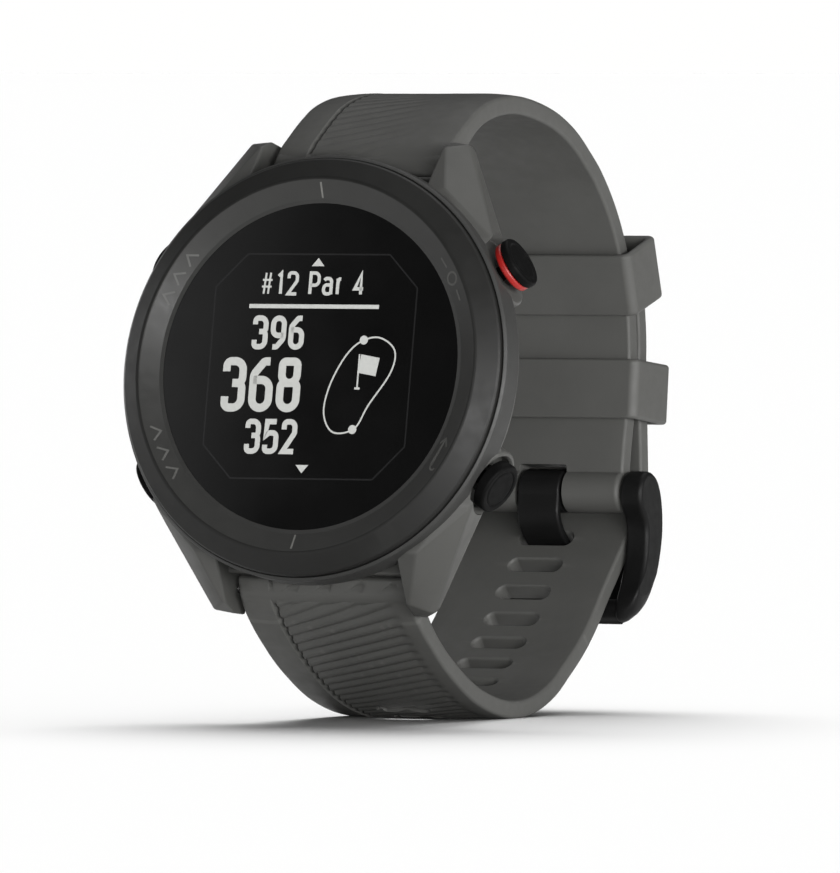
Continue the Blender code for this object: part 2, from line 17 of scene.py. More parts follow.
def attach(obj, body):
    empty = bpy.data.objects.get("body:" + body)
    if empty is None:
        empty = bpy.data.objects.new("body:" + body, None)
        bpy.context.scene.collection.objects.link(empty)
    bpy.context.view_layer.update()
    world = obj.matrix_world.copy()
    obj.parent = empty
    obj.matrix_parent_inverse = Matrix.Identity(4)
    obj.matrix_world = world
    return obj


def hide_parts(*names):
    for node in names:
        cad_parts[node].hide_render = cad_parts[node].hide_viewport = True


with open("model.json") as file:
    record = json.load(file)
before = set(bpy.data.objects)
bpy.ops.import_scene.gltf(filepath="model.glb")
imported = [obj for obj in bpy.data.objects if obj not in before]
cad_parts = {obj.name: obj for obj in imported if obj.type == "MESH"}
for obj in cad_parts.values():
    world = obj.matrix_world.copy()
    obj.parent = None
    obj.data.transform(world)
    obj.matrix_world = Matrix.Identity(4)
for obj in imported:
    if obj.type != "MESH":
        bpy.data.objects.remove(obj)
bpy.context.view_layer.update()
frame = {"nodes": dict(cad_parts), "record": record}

MM = 0.001
LENS_MOUNT = next(mount for mount in frame["record"]["mounts"] if mount["name"] == "lens_front")

# Case and bezel.
CASE_R = 21.85
CASE_BACK_Y = 9.6
COVER_Y = 10.4
LUG_INNER_X = 10.3
LENS_R = 16.8
BEZEL_R = 21.4
CREST_R = 19.15
CREST_Y = -1.1
CONE_INNER_R = 17.15
CONE_INNER_Y = -0.12
CONE_OUTER_R = 18.95
CONE_OUTER_Y = -1.02
SIGN_PEN = 0.2
SIGN_HEIGHT = 0.02
WINDOW_HALF = 11.5
WINDOW_CUT = 3.4
SCREW_RING_R = 14.9
SCREW_ANGLES = (55.0, 125.0, 235.0, 305.0)

# Buttons, on rays from the case centre.
BUTTON_Y = 5.3
BUTTONS = {"up": 150.0, "ok": 30.0, "down": 210.0, "back": -30.0}
BUTTON_R = 2.7
BUTTON_FACE = 23.1
OK_FACE = 23.6
BOSS_R = 3.6
BOSS_FACE = 21.9
OK_BOSS_FACE = 21.2
RECESS_FLOOR = 20.6

# Strap.
STRAP_T = 2.2
STRAP_LUG_HALF = 9.75
STRAP_BUCKLE_HALF = 9.25
SPRING_BAR = (8.2, 21.6)
ROLL_R = 1.65
BACK_CENTRE = (29.5, 6.0)
BACK_R = 24.6
TAIL_R = 27.05
TONGUE_SLOT = (56.1, -9.7)
SLOT_PITCH = 3.85
SLOTS_BEFORE_TONGUE = 10
SLOTS_AFTER_TONGUE = 4
SLOT_HALF_WIDTH = 3.0
SLOT_HALF_HEIGHT = 0.85
FLOOR_POINT = (33.0, -31.08)
FLOOR_SLOPE = math.tan(math.radians(10.0))
FLOOR_SLOT_REACH = 3.5

STRAP_STEP = 0.16
STRAP_CORNER = 0.36
STRAP_NOSE = 0.6
EDGE_DROP = 0.22

# The strap's moulded pattern: a border groove, ribs beside it and slanted cuts by the lower lug.
BORDER_X = -5.85
BORDER_HALF = 0.3
BORDER_DEPTH = 0.42
PANEL_STEP = 0.19
RIB_PITCH = 1.3
CUT_COUNT = 4
CUT_START = (-3.8, 1.45)
CUT_PITCH = 3.72
CUT_SLANT = (0.84, -0.54)
CUT_DEPTH = 0.85
CUT_HALF_LENGTH = 1.75
CUT_HALF_WIDTH = 0.42
# The ribs' slope, depth, right end and its fading, length from the lug, and whether there are cuts.
UPPER_RIBS = (0.36, 0.1, 5.5, 6.0, 24.0, False)
LOWER_RIBS = (-0.33, 0.3, 8.2, 1.4, 44.0, True)

# Buckle and keepers.
BAR = (54.6, -4.3)
BAR_HOLE_R = 0.87
BAR_ROLL_R = 2.25
ARM_INNER_X = 9.42
ARM_OUTER_X = 12.0
ARM_CORNER_TOP = -12.4
ARM_CORNER_LIFT = 0.6
PLATE_TOP = 1.9
PLATE_RISE = 6.1
PLATE_RISE_FROM = 4.4
PLATE_RISE_TO = 8.5
PLATE_HALF_THICKNESS = 0.7
OUTER_BAR = (54.7, -16.7)
OUTER_BAR_R = 1.15
BLADE_T = 0.95
TONGUE_HALF = 2.4
ROLL_NOTCH_HALF = 2.75
KEEPER_HALF = 10.5
KEEPER_BORE_HALF = 9.7
KEEPER_INNER_WALL = 0.6
KEEPER_OUTER_WALL = 1.1

# Studio, in metres: an even surround with glows, each a direction, how narrow it is and its strength.
EVEN_STRENGTH = 0.07
GLOWS = {
    "overhead": ((0.0, 0.3, 0.954), 12.0, 2.5),
    "right": ((1, 0, 0), 2.0, 0.4),
    "left": ((-1, 0, 0), 2.0, 0.14),
}
# Softboxes that leave the floor out, each a place, a size and a power.
SOFTBOXES = {
    "left_softbox": ((-0.56, 0.22, 0.1), (0.4, 0.22), 0.7),
    "right_softbox": ((0.63, -0.08, 0.06), (0.4, 0.24), 3.1),
    "front_fill": ((0.6, -0.36, 0.1), (0.4, 0.3), 2.1),
    "left_front_fill": ((-0.45, -0.5, 0.1), (0.3, 0.3), 0.2),
    "low_fill": ((0.42, -0.5, 0.03), (0.6, 0.05), 4.3),
    "lens_card": ((-0.215, -0.215, 0.17), (0.2, 0.2), 0.055),
}
SOFTBOX_AIM = (0, 0, 0.035)
FLOOR_SUN = (-0.36, 0.6, 1)
FLOOR_SUN_STRENGTH = 2.27
FLOOR_SUN_DEGREES = 43

# Camera: its direction and distance (metres) from the face centre, and how the image is framed there.
VIEW_AZIMUTH = 27.7
VIEW_ELEVATION = 1.0
VIEW_DISTANCE = 1.8
VIEW_WIDTH = 84.934
FACE_LEFT_OF_MIDDLE = 11.122
FACE_ABOVE_MIDDLE = 7.078


# ---------------------------------------------------------------- frame and mesh helpers

def watch_matrix():
    """From millimetres in the watch's frame to metres in the row frame."""
    depth = -Vector(LENS_MOUNT["axis"])
    across = Vector((1, 0, 0))
    up = across.cross(depth)
    turn = Matrix((across, depth, up)).transposed().to_4x4()
    return Matrix.Translation(LENS_MOUNT["pos_m"]) @ turn @ Matrix.Scale(MM, 4)


WATCH = watch_matrix()


def axis_frame(direction, origin):
    """A frame whose Y runs along the direction and whose X is the watch's depth."""
    along = Vector(direction).normalized()
    depth = Vector((0, 1, 0))
    turn = Matrix((depth, along, depth.cross(along))).transposed().to_4x4()
    return Matrix.Translation(origin) @ turn


def polar(radius, degrees):
    angle = math.radians(degrees)
    return (radius * math.cos(angle), radius * math.sin(angle))


def button_frame(degrees):
    x, z = polar(1.0, degrees)
    return axis_frame((x, 0, z), (0, BUTTON_Y, 0))


def cross_frame(place):
    """A frame whose Y runs across the watch, from a side-view place."""
    return axis_frame((1, 0, 0), (0, *place))


def spring_bar_frame(sign):
    return cross_frame((SPRING_BAR[0], sign * SPRING_BAR[1]))


def ramp(value, low, high):
    """0 before low, 1 after high and straight between them."""
    return min(1.0, max(0.0, (value - low) / (high - low)))


def ease(value, low, high):
    """0 before low, 1 after high and smooth between them."""
    t = ramp(value, low, high)
    return t * t * (3 - 2 * t)


def fillet(points, radius=0.0, closed=False, steps=5):
    """Round the corners of a flat polyline. A point may carry its own radius."""
    rounded = []
    count = len(points)
    for index, point in enumerate(points):
        here = Vector(point[:2])
        size = point[2] if len(point) > 2 else radius
        at_end = not closed and index in (0, count - 1)
        before = Vector(points[index - 1][:2]) - here
        after = Vector(points[(index + 1) % count][:2]) - here
        if size <= 0 or at_end or before.angle(after) > math.radians(179):
            rounded.append(here)
            continue
        half = before.angle(after) / 2
        reach = min(size / math.tan(half), 0.49 * before.length, 0.49 * after.length)
        arc_radius = reach * math.tan(half)
        middle = (before.normalized() + after.normalized()).normalized()
        centre = here + middle * (arc_radius / math.sin(half))
        first = here + before.normalized() * reach - centre
        last = here + after.normalized() * reach - centre
        for step in range(steps + 1):
            spoke = first.lerp(last, step / steps).normalized() * arc_radius
            rounded.append(centre + spoke)
    return rounded


def rounded_box(first, second, radius, steps):
    """The outline of a flat box between two opposite corners, with its corners rounded."""
    box = [first, (second[0], first[1]), second, (first[0], second[1])]
    return fillet(box, radius, closed=True, steps=steps)


def spline(points, step, closed=False):
    """A Catmull-Rom curve through the points, with a point about every step."""
    points = [Vector(point) for point in points]
    if closed:
        ends = [points[-1], *points, points[0], points[1]]
    else:
        ends = [2 * points[0] - points[1], *points, 2 * points[-1] - points[-2]]
    path = []
    for before, start, end, after in zip(ends, ends[1:], ends[2:], ends[3:]):
        count = max(1, round((end - start).length / step))
        for index in range(count):
            t = index / count
            bend = 2 * before - 5 * start + 4 * end - after
            twist = 3 * start - before - 3 * end + after
            path.append(0.5 * (2 * start + (end - before) * t + bend * t * t + twist * t ** 3))
    if not closed:
        path.append(points[-1])
    return path


def as_object(name, bm):
    bmesh.ops.recalc_face_normals(bm, faces=bm.faces)
    mesh = bpy.data.meshes.new(name)
    bm.to_mesh(mesh)
    bm.free()
    obj = bpy.data.objects.new(name, mesh)
    bpy.context.scene.collection.objects.link(obj)
    return obj


def apply_modifiers(obj):
    graph = bpy.context.evaluated_depsgraph_get()
    mesh = bpy.data.meshes.new_from_object(obj.evaluated_get(graph))
    obj.modifiers.clear()
    old = obj.data
    obj.data = mesh
    bpy.data.meshes.remove(old)


def combine(obj, other, operation="DIFFERENCE"):
    modifier = obj.modifiers.new("combine", "BOOLEAN")
    modifier.operation = operation
    modifier.object = other
    modifier.solver = "EXACT"
    apply_modifiers(obj)
    bpy.data.objects.remove(other, do_unlink=True)


def merge(name, objects):
    """One object holding separate bodies, used as a cutter."""
    bm = bmesh.new()
    for obj in objects:
        bm.from_mesh(obj.data)
        bpy.data.objects.remove(obj, do_unlink=True)
    return as_object(name, bm)


def skin(bm, rows, closed=False):
    """Faces between neighbouring rings of vertices, and over both ends if the skin is open.

    A row of one vertex is a point where the skin ends on an axis.
    """
    pairs = list(zip(rows, rows[1:]))
    if closed:
        pairs.append((rows[-1], rows[0]))
    for first, second in pairs:
        count = max(len(first), len(second))
        for index in range(count):
            after = (index + 1) % count
            start = [first[index], first[after]] if len(first) > 1 else first
            end = [second[after], second[index]] if len(second) > 1 else second
            bm.faces.new(start + end)
    for row in (rows[0], rows[-1]):
        if not closed and len(row) > 1:
            bm.faces.new(row)


def lathe(name, outline, place=Matrix.Identity(4), segments=192, steps=5):
    """Turn an outline about Y. It is closed, unless it starts and ends on the axis."""
    closed = outline[0][0] > 0
    bm = bmesh.new()
    rings = []
    for radius, height in fillet(outline, closed=closed, steps=steps):
        if radius < 0.0001:
            rings.append([bm.verts.new((0, height, 0))])
            continue
        ring = []
        for index in range(segments):
            x, z = polar(radius, 360 * index / segments)
            ring.append(bm.verts.new((x, height, z)))
        rings.append(ring)
    skin(bm, rings, closed)
    bmesh.ops.transform(bm, matrix=place, verts=bm.verts)
    return as_object(name, bm)


def bar(name, radius, ends, place, rounding=0.0, segments=64):
    low, high = ends
    outline = [(0, low), (radius, low, rounding), (radius, high, rounding), (0, high)]
    return lathe(name, outline, place, segments)


def loft(name, rings, closed=False):
    """Skin a list of equal rings of points."""
    bm = bmesh.new()
    skin(bm, [[bm.verts.new(point) for point in ring] for ring in rings], closed)
    return as_object(name, bm)


def soften(obj, width, segments=4, angle=30):
    bevel = obj.modifiers.new("soften", "BEVEL")
    bevel.width = width
    bevel.segments = segments
    bevel.limit_method = "ANGLE"
    bevel.angle_limit = math.radians(angle)
    apply_modifiers(obj)
    return obj


def block(name, size, place, rounding=0.0):
    bm = bmesh.new()
    bmesh.ops.create_cube(bm, size=1.0)
    bmesh.ops.scale(bm, vec=size, verts=bm.verts)
    bmesh.ops.transform(bm, matrix=place, verts=bm.verts)
    obj = as_object(name, bm)
    if rounding:
        soften(obj, rounding, 5)
    return obj


def finish_of(name):
    return bpy.data.materials[f"{name}_finish"]


def publish(obj, finish, body, replaced=(), sharp=30):
    """Carry a finished piece into the row frame and hang it on its body."""
    obj.data.transform(WATCH)
    obj.data.materials.clear()
    obj.data.materials.append(finish_of(finish))
    obj.data.shade_smooth()
    obj.data.set_sharp_from_angle(angle=math.radians(sharp))
    weighted = obj.modifiers.new("weighted", "WEIGHTED_NORMAL")
    weighted.keep_sharp = True
    apply_modifiers(obj)
    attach(obj, body)
    if replaced:
        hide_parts(*replaced)


# ---------------------------------------------------------------- materials

def linear(*channels):
    """A colour given as 0 to 255 display values."""
    return tuple(((value / 255 + 0.055) / 1.055) ** 2.4 for value in channels)


NOISE_SPREAD = (0.3, 0.7)
# Painted highlight: the pointiness range over which sharp convex edges are lightened.
EDGE_HIGHLIGHT_RANGE = (0.52, 0.62)


def feed(tree, socket, value):
    """Give a socket a fixed value or another node's output."""
    if isinstance(value, bpy.types.NodeSocket):
        tree.links.new(value, socket)
    else:
        socket.default_value = value


def add_node(tree, kind, sockets=None, **settings):
    """A new shader node, with its settings and what its sockets are fed."""
    node = tree.nodes.new(f"ShaderNode{kind}")
    for setting, choice in settings.items():
        setattr(node, setting, choice)
    for socket, value in (sockets or {}).items():
        feed(tree, node.inputs[socket], value)
    return node


class Finish:
    """A Principled material with grain, mottling and uneven gloss at real scales, and on some a painted
    highlight that lightens sharp edges.
    """

    def __init__(self, name, colour, roughness, sockets):
        self.material = bpy.data.materials.new(name)
        self.material.use_nodes = True
        self.tree = self.material.node_tree
        self.colour = colour
        self.roughness = roughness
        self.normal = None
        self.place = add_node(self.tree, "TexCoord").outputs["Object"]
        self.show({"Base Color": (*colour, 1.0), "Roughness": roughness, **sockets})

    def show(self, sockets):
        for socket, value in sockets.items():
            feed(self.tree, self.tree.nodes["Principled BSDF"].inputs[socket], value)

    def noise(self, size, detail=2.0, stretch=None):
        """Noise whose lumps are about size millimetres across."""
        place = self.place
        if stretch:
            place = add_node(self.tree, "Mapping", {"Scale": stretch, "Vector": place}).outputs["Vector"]
        sockets = {"Scale": 1 / (size * MM), "Detail": detail, "Vector": place}
        return add_node(self.tree, "TexNoise", sockets).outputs["Fac"]

    def remap(self, value, source, target):
        limits = zip(("From Min", "From Max", "To Min", "To Max"), (*source, *target))
        return add_node(self.tree, "MapRange", {"Value": value, **dict(limits)}).outputs["Result"]

    def mix(self, share, first, second):
        sockets = {"Factor": share, "A": first, "B": second}
        return add_node(self.tree, "Mix", sockets, data_type="RGBA").outputs["Result"]

    def grain(self, size, depth, detail=2.0, stretch=None):
        """Bump with lumps of that size and height, on top of what is there."""
        sockets = {"Strength": 1.0, "Distance": depth * MM, "Height": self.noise(size, detail, stretch)}
        if self.normal:
            sockets["Normal"] = self.normal
        self.normal = add_node(self.tree, "Bump", sockets).outputs["Normal"]
        self.show({"Normal": self.normal})

    def mottle(self, size, amount, edge_highlight=0.0):
        """Uneven colour, with a painted highlight: sharp convex edges lightened, up to the given share.
        """
        def tone(share, added=0.0):
            return (*[channel * share + added for channel in self.colour], 1.0)

        uneven = self.remap(self.noise(size, 4.0), NOISE_SPREAD, (0, 1))
        result = self.mix(uneven, tone(1 - amount), tone(1 + amount))
        if edge_highlight:
            # Painted highlight: convex edges, found by pointiness, are mixed towards a lighter tone.
            edge = add_node(self.tree, "NewGeometry").outputs["Pointiness"]
            result = self.mix(self.remap(edge, EDGE_HIGHLIGHT_RANGE, (0, edge_highlight)), result, tone(1.8, 0.004))
        self.show({"Base Color": result})

    def uneven_gloss(self, size, amount):
        reach = (self.roughness - amount, self.roughness + amount)
        self.show({"Roughness": self.remap(self.noise(size, 3.0), NOISE_SPREAD, reach)})


FINISHES = {
    # name: colour, roughness, mottle (size, amount, painted edge highlight), uneven gloss (size, amount),
    # layers of grain (size, depth, detail, stretch), and the shader's own sockets. Sizes are in mm.
    "case_polymer": (linear(58, 58, 56), 0.5, (9.0, 0.07, 0.25), (2.2, 0.06),
                     [(0.14, 0.004), (0.9, 0.006)], {"Specular IOR Level": 0.35}),
    # The band below is a darker copy of the case polymer for the wall under the bezel: painted shade that
    # tones down the light the right softbox throws on that wall.
    "case_band_painted_shade": (linear(40, 40, 39), 0.5, (9.0, 0.07, 0.2), (2.2, 0.06),
                  [(0.14, 0.004), (0.9, 0.006)], {"Specular IOR Level": 0.3}),
    "bezel_outer": (linear(21, 21, 20), 0.48, (6.0, 0.08, 0.2), (1.5, 0.05),
                    [(0.1, 0.002), (0.7, 0.003)], {"Specular IOR Level": 0.22}),
    "bezel_inner": (linear(40, 40, 39), 0.38, (4.0, 0.06), (1.0, 0.05),
                    [(0.08, 0.002)], {"Specular IOR Level": 0.28}),
    "etched": (linear(62, 62, 60), 0.6, (0.6, 0.12), None, [(0.05, 0.004)], {}),
    "tick": (linear(88, 88, 85), 0.5, (0.5, 0.1), None, [(0.05, 0.003)], {}),
    "lens": (linear(5, 5, 5), 0.1, (12.0, 0.12), (7.0, 0.025), [(6.0, 0.0015)],
             {"IOR": 1.45, "Specular IOR Level": 0.3}),
    "window_edge": (linear(6, 6, 7), 0.25, (2.0, 0.1), None, [(0.2, 0.0008)], {}),
    # The readout's emission is a painted glow: the display has no light of its own, and the glow lifts
    # the digits behind the dark glass.
    "readout": (linear(158, 159, 156), 0.5, (0.35, 0.05), None, [(0.08, 0.001)],
                {"Emission Color": (0.6, 0.6, 0.59, 1.0), "Emission Strength": 0.12}),
    "silicone": (linear(64, 64, 62), 0.58, (7.0, 0.06, 0.3), (1.6, 0.07),
                 [(0.09, 0.003), (0.6, 0.004)], {"Specular IOR Level": 0.32}),
    "black_polymer": (linear(14, 14, 14), 0.44, (3.0, 0.12, 0.2), (0.9, 0.06),
                      [(0.12, 0.002), (0.8, 0.004)], {"IOR": 1.2}),
    "button_polymer": (linear(9, 9, 9), 0.52, (2.0, 0.12, 0.2), (0.7, 0.06),
                       [(0.1, 0.002), (0.6, 0.003)], {"IOR": 1.12}),
    "red_polymer": (linear(134, 15, 10), 0.45, (1.0, 0.08), (0.5, 0.05), [(0.08, 0.001)], {}),
    "steel": ((0.5, 0.5, 0.49), 0.28, (0.8, 0.08), (0.3, 0.08),
              [(0.05, 0.0012, 2.0, (0.15, 1, 1))], {"Metallic": 1.0}),
    "gold": ((0.8, 0.55, 0.2), 0.25, (0.4, 0.06), (0.2, 0.06), [(0.05, 0.0008)], {"Metallic": 1.0}),
    "board": ((0.01, 0.09, 0.035), 0.4, (1.5, 0.3), (0.6, 0.08), [(0.25, 0.012)], {}),
    "foil": ((0.55, 0.55, 0.57), 0.35, (3.0, 0.05), (1.2, 0.1), [(0.9, 0.03, 4.0)], {"Metallic": 1.0}),
    "ceramic": ((0.6, 0.56, 0.48), 0.55, (0.5, 0.06), (0.4, 0.05), [(0.1, 0.004, 4.0)], {}),
    "display": ((0.02, 0.025, 0.02), 0.15, (5.0, 0.1), (3.0, 0.03), [(2.0, 0.001)], {}),
    "seal": ((0.02, 0.02, 0.02), 0.75, (0.7, 0.15), (0.4, 0.08), [(0.07, 0.004)], {}),
}


def make_finishes():
    for name, (colour, roughness, mottle, gloss, grains, sockets) in FINISHES.items():
        finish = Finish(f"{name}_finish", colour, roughness, sockets)
        finish.mottle(*mottle)
        if gloss:
            finish.uneven_gloss(*gloss)
        for grain in grains:
            finish.grain(*grain)


def dress_cad_nodes():
    """Give every carried-over CAD node the finish of its slot."""
    finishes = {part["node"]: part["material_slot"] for part in frame["record"]["subparts"]}
    for name, obj in frame["nodes"].items():
        finish = finish_of(finishes[name].replace("bezel_polymer", "bezel_outer"))
        if not obj.material_slots:
            obj.data.materials.append(finish)
        for material_slot in obj.material_slots:
            material_slot.material = finish


# ---------------------------------------------------------------- case and front

def make_lugs():
    """Four faceted horns with softened edges."""
    corners = [
        (LUG_INNER_X, 1.9, 18.3), (LUG_INNER_X, 5.4, 23.5), (LUG_INNER_X, 7.4, 24.3),
        (LUG_INNER_X, 9.9, 24.1), (LUG_INNER_X, 9.4, 15.5), (LUG_INNER_X, 2.6, 15.5),
        (10.7, 5.3, 23.4), (12.6, 2.1, 18.7), (16.4, 2.1, 13.7), (19.0, 3.0, 10.8), (20.6, 3.6, 7.2),
        (12.4, 6.9, 24.0), (12.9, 5.0, 21.2), (14.9, 3.0, 17.4), (18.3, 2.8, 13.5),
        (12.7, 7.6, 23.8), (11.9, 9.8, 23.1), (14.4, 8.6, 17.6), (16.5, 6.6, 14.4),
        (19.8, 5.6, 9.6), (16.8, 8.8, 9.4), (17.0, 2.6, 9.0),
    ]
    horns = []
    for side in (1, -1):
        for end in (1, -1):
            bm = bmesh.new()
            verts = [bm.verts.new((side * x, y, end * z)) for x, y, z in corners]
            bmesh.ops.convex_hull(bm, input=verts)
            loose = [vert for vert in bm.verts if not vert.link_faces]
            bmesh.ops.delete(bm, geom=loose, context="VERTS")
            bmesh.ops.dissolve_limit(bm, angle_limit=math.radians(3), verts=bm.verts, edges=bm.edges)
            horns.append(soften(as_object("lug", bm), 0.22, 4, 14))
    return horns


def make_case():
    outline = [
        (15.1, 1.6), (BEZEL_R + 0.05, 1.6), (BEZEL_R + 0.05, 0.8, 0.05), (BEZEL_R + 0.15, 0.7, 0.05),
        (CASE_R, 0.95, 0.2), (CASE_R, 3.6, 0.6), (18.8, 9.4, 0.3), (18.6, CASE_BACK_Y, 0.08),
        (17.4, CASE_BACK_Y, 0.08), (17.4, 2.6), (15.1, 2.6),
    ]
    case = lathe("case_body", outline)
    for horn in make_lugs():
        combine(case, horn, "UNION")
    for sign in (1, -1):
        behind_strap = Matrix.Translation((0, 7.2, sign * 18.2))
        bridge = block("bridge", (2 * LUG_INNER_X + 1.0, 3.6, 4.4), behind_strap, 0.3)
        combine(case, bridge, "UNION")
    for name, degrees in BUTTONS.items():
        place = button_frame(degrees)
        face = OK_BOSS_FACE if name == "ok" else BOSS_FACE
        dome = [(0, 18.5), (BOSS_R, 18.5), (BOSS_R, face - 0.1, 0.35), (0, face)]
        combine(case, lathe("boss", dome, place, 96), "UNION")
        if name == "ok":
            rim = [(0, face), (BOSS_R + 0.2, face, 0.1), (BOSS_R + 0.35, 26.0), (0, 26.0)]
        else:
            rim = [(0, RECESS_FLOOR), (BUTTON_R + 0.25, RECESS_FLOOR), (BUTTON_R + 0.25, face - 0.3, 0.2),
                   (BUTTON_R + 0.75, face + 0.2), (BUTTON_R + 0.75, 26.0), (0, 26.0)]
        combine(case, lathe("recess", rim, place, 96))
        combine(case, bar("bore", 1.5, (16.0, 23.0), place))
    for sign in (1, -1):
        combine(case, bar("pin_hole", 0.55, (-11.4, 11.4), spring_bar_frame(sign), segments=24))
    publish(case, "case_polymer", "watch", ["case_shell"], 24)
    # The case wall under the bezel gets the darker copy of the case polymer: painted shade.
    tint_ring(case, "case_band_painted_shade", BEZEL_R, CASE_R + 0.01, 3.6)


def tint_ring(obj, finish, low, high, deepest):
    """Give a published turned piece a second finish between two radii, down to a depth."""
    obj.data.materials.append(finish_of(finish))
    from_watch = WATCH.inverted()
    for polygon in obj.data.polygons:
        centre = from_watch @ polygon.center
        if low < math.hypot(centre.x, centre.z) < high and centre.y < deepest:
            polygon.material_index = 1


def ribbon(bm, points, width, place, height=SIGN_HEIGHT, closed=False, base=-0.03):
    """Add a flat closed strip along a polyline. place(u, v, lift) puts a point on the surface."""
    points = [Vector(point) for point in points]
    count = len(points)
    rows = []
    for index, here in enumerate(points):
        before = points[index - 1] if index or closed else None
        after = points[(index + 1) % count] if index < count - 1 or closed else None
        ahead = (after - here).normalized() if after else (here - before).normalized()
        behind = (here - before).normalized() if before else ahead
        miter = (ahead + behind).normalized()
        side = Vector((-miter.y, miter.x)) * (width / 2) / max(0.5, miter.dot(ahead))
        corners = ((side, height), (-side, height), (-side, base), (side, base))
        rows.append([bm.verts.new(place(*(here + shift), lift)) for shift, lift in corners])
    skin(bm, rows, closed)


def circle(centre, radius, steps=32, start=0.0, sweep=360.0):
    """Points round a circle, or along a part of it."""
    points = []
    for index in range(steps if sweep >= 360 else steps + 1):
        u, v = polar(radius, start + sweep * index / steps)
        points.append((centre[0] + u, centre[1] + v))
    return points


def make_bezel():
    outline = [
        (LENS_R + 0.06, -0.01), (LENS_R - 0.06, -0.012), (LENS_R - 0.06, -0.04),
        (CONE_INNER_R, CONE_INNER_Y, 0.1), (CONE_OUTER_R, CONE_OUTER_Y, 0.3),
        (CREST_R, CREST_Y, 0.3), (CREST_R + 0.25, CREST_Y + 0.08, 0.5), (BEZEL_R - 0.15, 0.1, 0.3),
        (BEZEL_R, 0.3, 0.15), (BEZEL_R, 1.55), (LENS_R + 0.06, 1.55),
    ]
    bezel = lathe("bezel", outline, segments=256, steps=6)
    publish(bezel, "bezel_outer", "watch", ["bezel_ring"], 35)
    tint_ring(bezel, "bezel_inner", 0, CREST_R - 0.12, 0.5)


def on_cone(centre_degrees):
    """Signs are drawn flat, u along the ring and v outwards, and laid on the bezel's inner cone."""
    middle = (CONE_INNER_R + CONE_OUTER_R) / 2

    def place(u, v, lift):
        radius = middle + v
        share = (radius - CONE_INNER_R) / (CONE_OUTER_R - CONE_INNER_R)
        x, z = polar(radius, centre_degrees - math.degrees(u / middle))
        return Vector((x, CONE_INNER_Y + share * (CONE_OUTER_Y - CONE_INNER_Y) - lift, z))

    return place


def make_bezel_signs():
    """Generic signs beside the buttons, where a watch names them: up, down, a target and return."""
    chevrons = [[(u - 0.75, -0.42), (u, 0.42), (u + 0.75, -0.42)] for u in (-2.3, 0.0, 2.3)]
    hook = [(-1.9, -0.1), (1.2, -0.1), *circle((1.2, 0.25), 0.35, 10, -90, 180)]
    signs = {
        "up": chevrons,
        "down": [[(u, -v) for u, v in chevron] for chevron in chevrons],
        "ok": [[(-2.5, 0), (-1.3, 0)], [(1.3, 0), (2.5, 0)]],
        "back": [hook, [(-1.2, 0.5), (-1.9, -0.1), (-1.2, -0.6)]],
    }
    bm = bmesh.new()
    ribbon(bm, circle((0, 0), 0.62), SIGN_PEN, on_cone(BUTTONS["ok"]), closed=True)
    for name, strokes in signs.items():
        for stroke in strokes:
            ribbon(bm, stroke, SIGN_PEN, on_cone(BUTTONS[name]))
    publish(as_object("bezel_signs", bm), "etched", "watch")
    bm = bmesh.new()
    for degrees in (90, 270):
        ribbon(bm, [(0, -0.8), (0, 0.72)], SIGN_PEN, on_cone(degrees))
    publish(as_object("bezel_ticks", bm), "tick", "watch")


def make_lens():
    outline = [(0, 0), (LENS_R, 0, 0.1), (LENS_R, 1.0, 0.1), (0, 1.0)]
    lens = lathe("lens_glass", outline, segments=256, steps=6)
    publish(lens, "lens", "watch", ["lens"])


# ---------------------------------------------------------------- readout

# Strokes of each character in a cell one wide and one high, with rounded corners.
GLYPHS = {
    "#": [[(0.2, 0), (0.36, 1)], [(0.64, 0), (0.8, 1)], [(0.05, 0.66), (1, 0.66)],
          [(0, 0.34), (0.95, 0.34)]],
    "1": [[(0.15, 0.84), (0.6, 1), (0.6, 0)]],
    "2": [[(0, 0.74), (0, 1, 0.5), (1, 1, 0.5), (1, 0.62, 0.3), (0, 0), (1, 0)]],
    "3": [[(0, 0.78), (0, 1, 0.5), (1, 1, 0.5), (1, 0.53, 0.4), (0.4, 0.53)],
          [(0.4, 0.53), (1, 0.53, 0.4), (1, 0, 0.5), (0, 0, 0.5), (0, 0.24)]],
    "4": [[(0.74, 0), (0.74, 1), (0, 0.26), (1, 0.26)]],
    "5": [[(0.95, 1), (0.1, 1), (0.02, 0.52), (0.3, 0.62, 0.3), (1, 0.62, 0.5), (1, 0, 0.5),
           (0, 0, 0.5), (0, 0.22)]],
    "6": [[(0.95, 1), (0.6, 1, 0.2), (0, 0.72, 0.5), (0, 0, 0.5), (1, 0, 0.5), (1, 0.6, 0.5),
           (0, 0.6, 0.4)]],
    "8": [[(0.5, 1), (0.04, 1, 0.5), (0.04, 0.54, 0.45), (0.96, 0.54, 0.45), (0.96, 1, 0.5), (0.5, 1)],
          [(0.5, 0.54), (0, 0.54, 0.5), (0, 0, 0.5), (1, 0, 0.5), (1, 0.54, 0.5), (0.5, 0.54)]],
    "9": [[(0.05, 0), (0.4, 0, 0.2), (1, 0.28, 0.5), (1, 1, 0.5), (0, 1, 0.5), (0, 0.4, 0.5),
           (1, 0.4, 0.4)]],
    "P": [[(0, 0), (0, 1), (1, 1, 0.5), (1, 0.42, 0.5), (0, 0.42)]],
    "a": [[(0.05, 0.66), (0.2, 0.74, 0.2), (0.9, 0.74, 0.4), (0.9, 0)],
          [(0.9, 0.44), (0, 0.44, 0.4), (0, 0, 0.4), (0.9, 0.02, 0.3), (0.9, 0.3)]],
    "r": [[(0.1, 0), (0.1, 0.74)], [(0.1, 0.48), (0.3, 0.72, 0.3), (0.85, 0.72)]],
}
NARROW = {"r": 0.62, " ": 0.55, "1": 0.8, "#": 1.15}
FINE = {"#": 0.58}


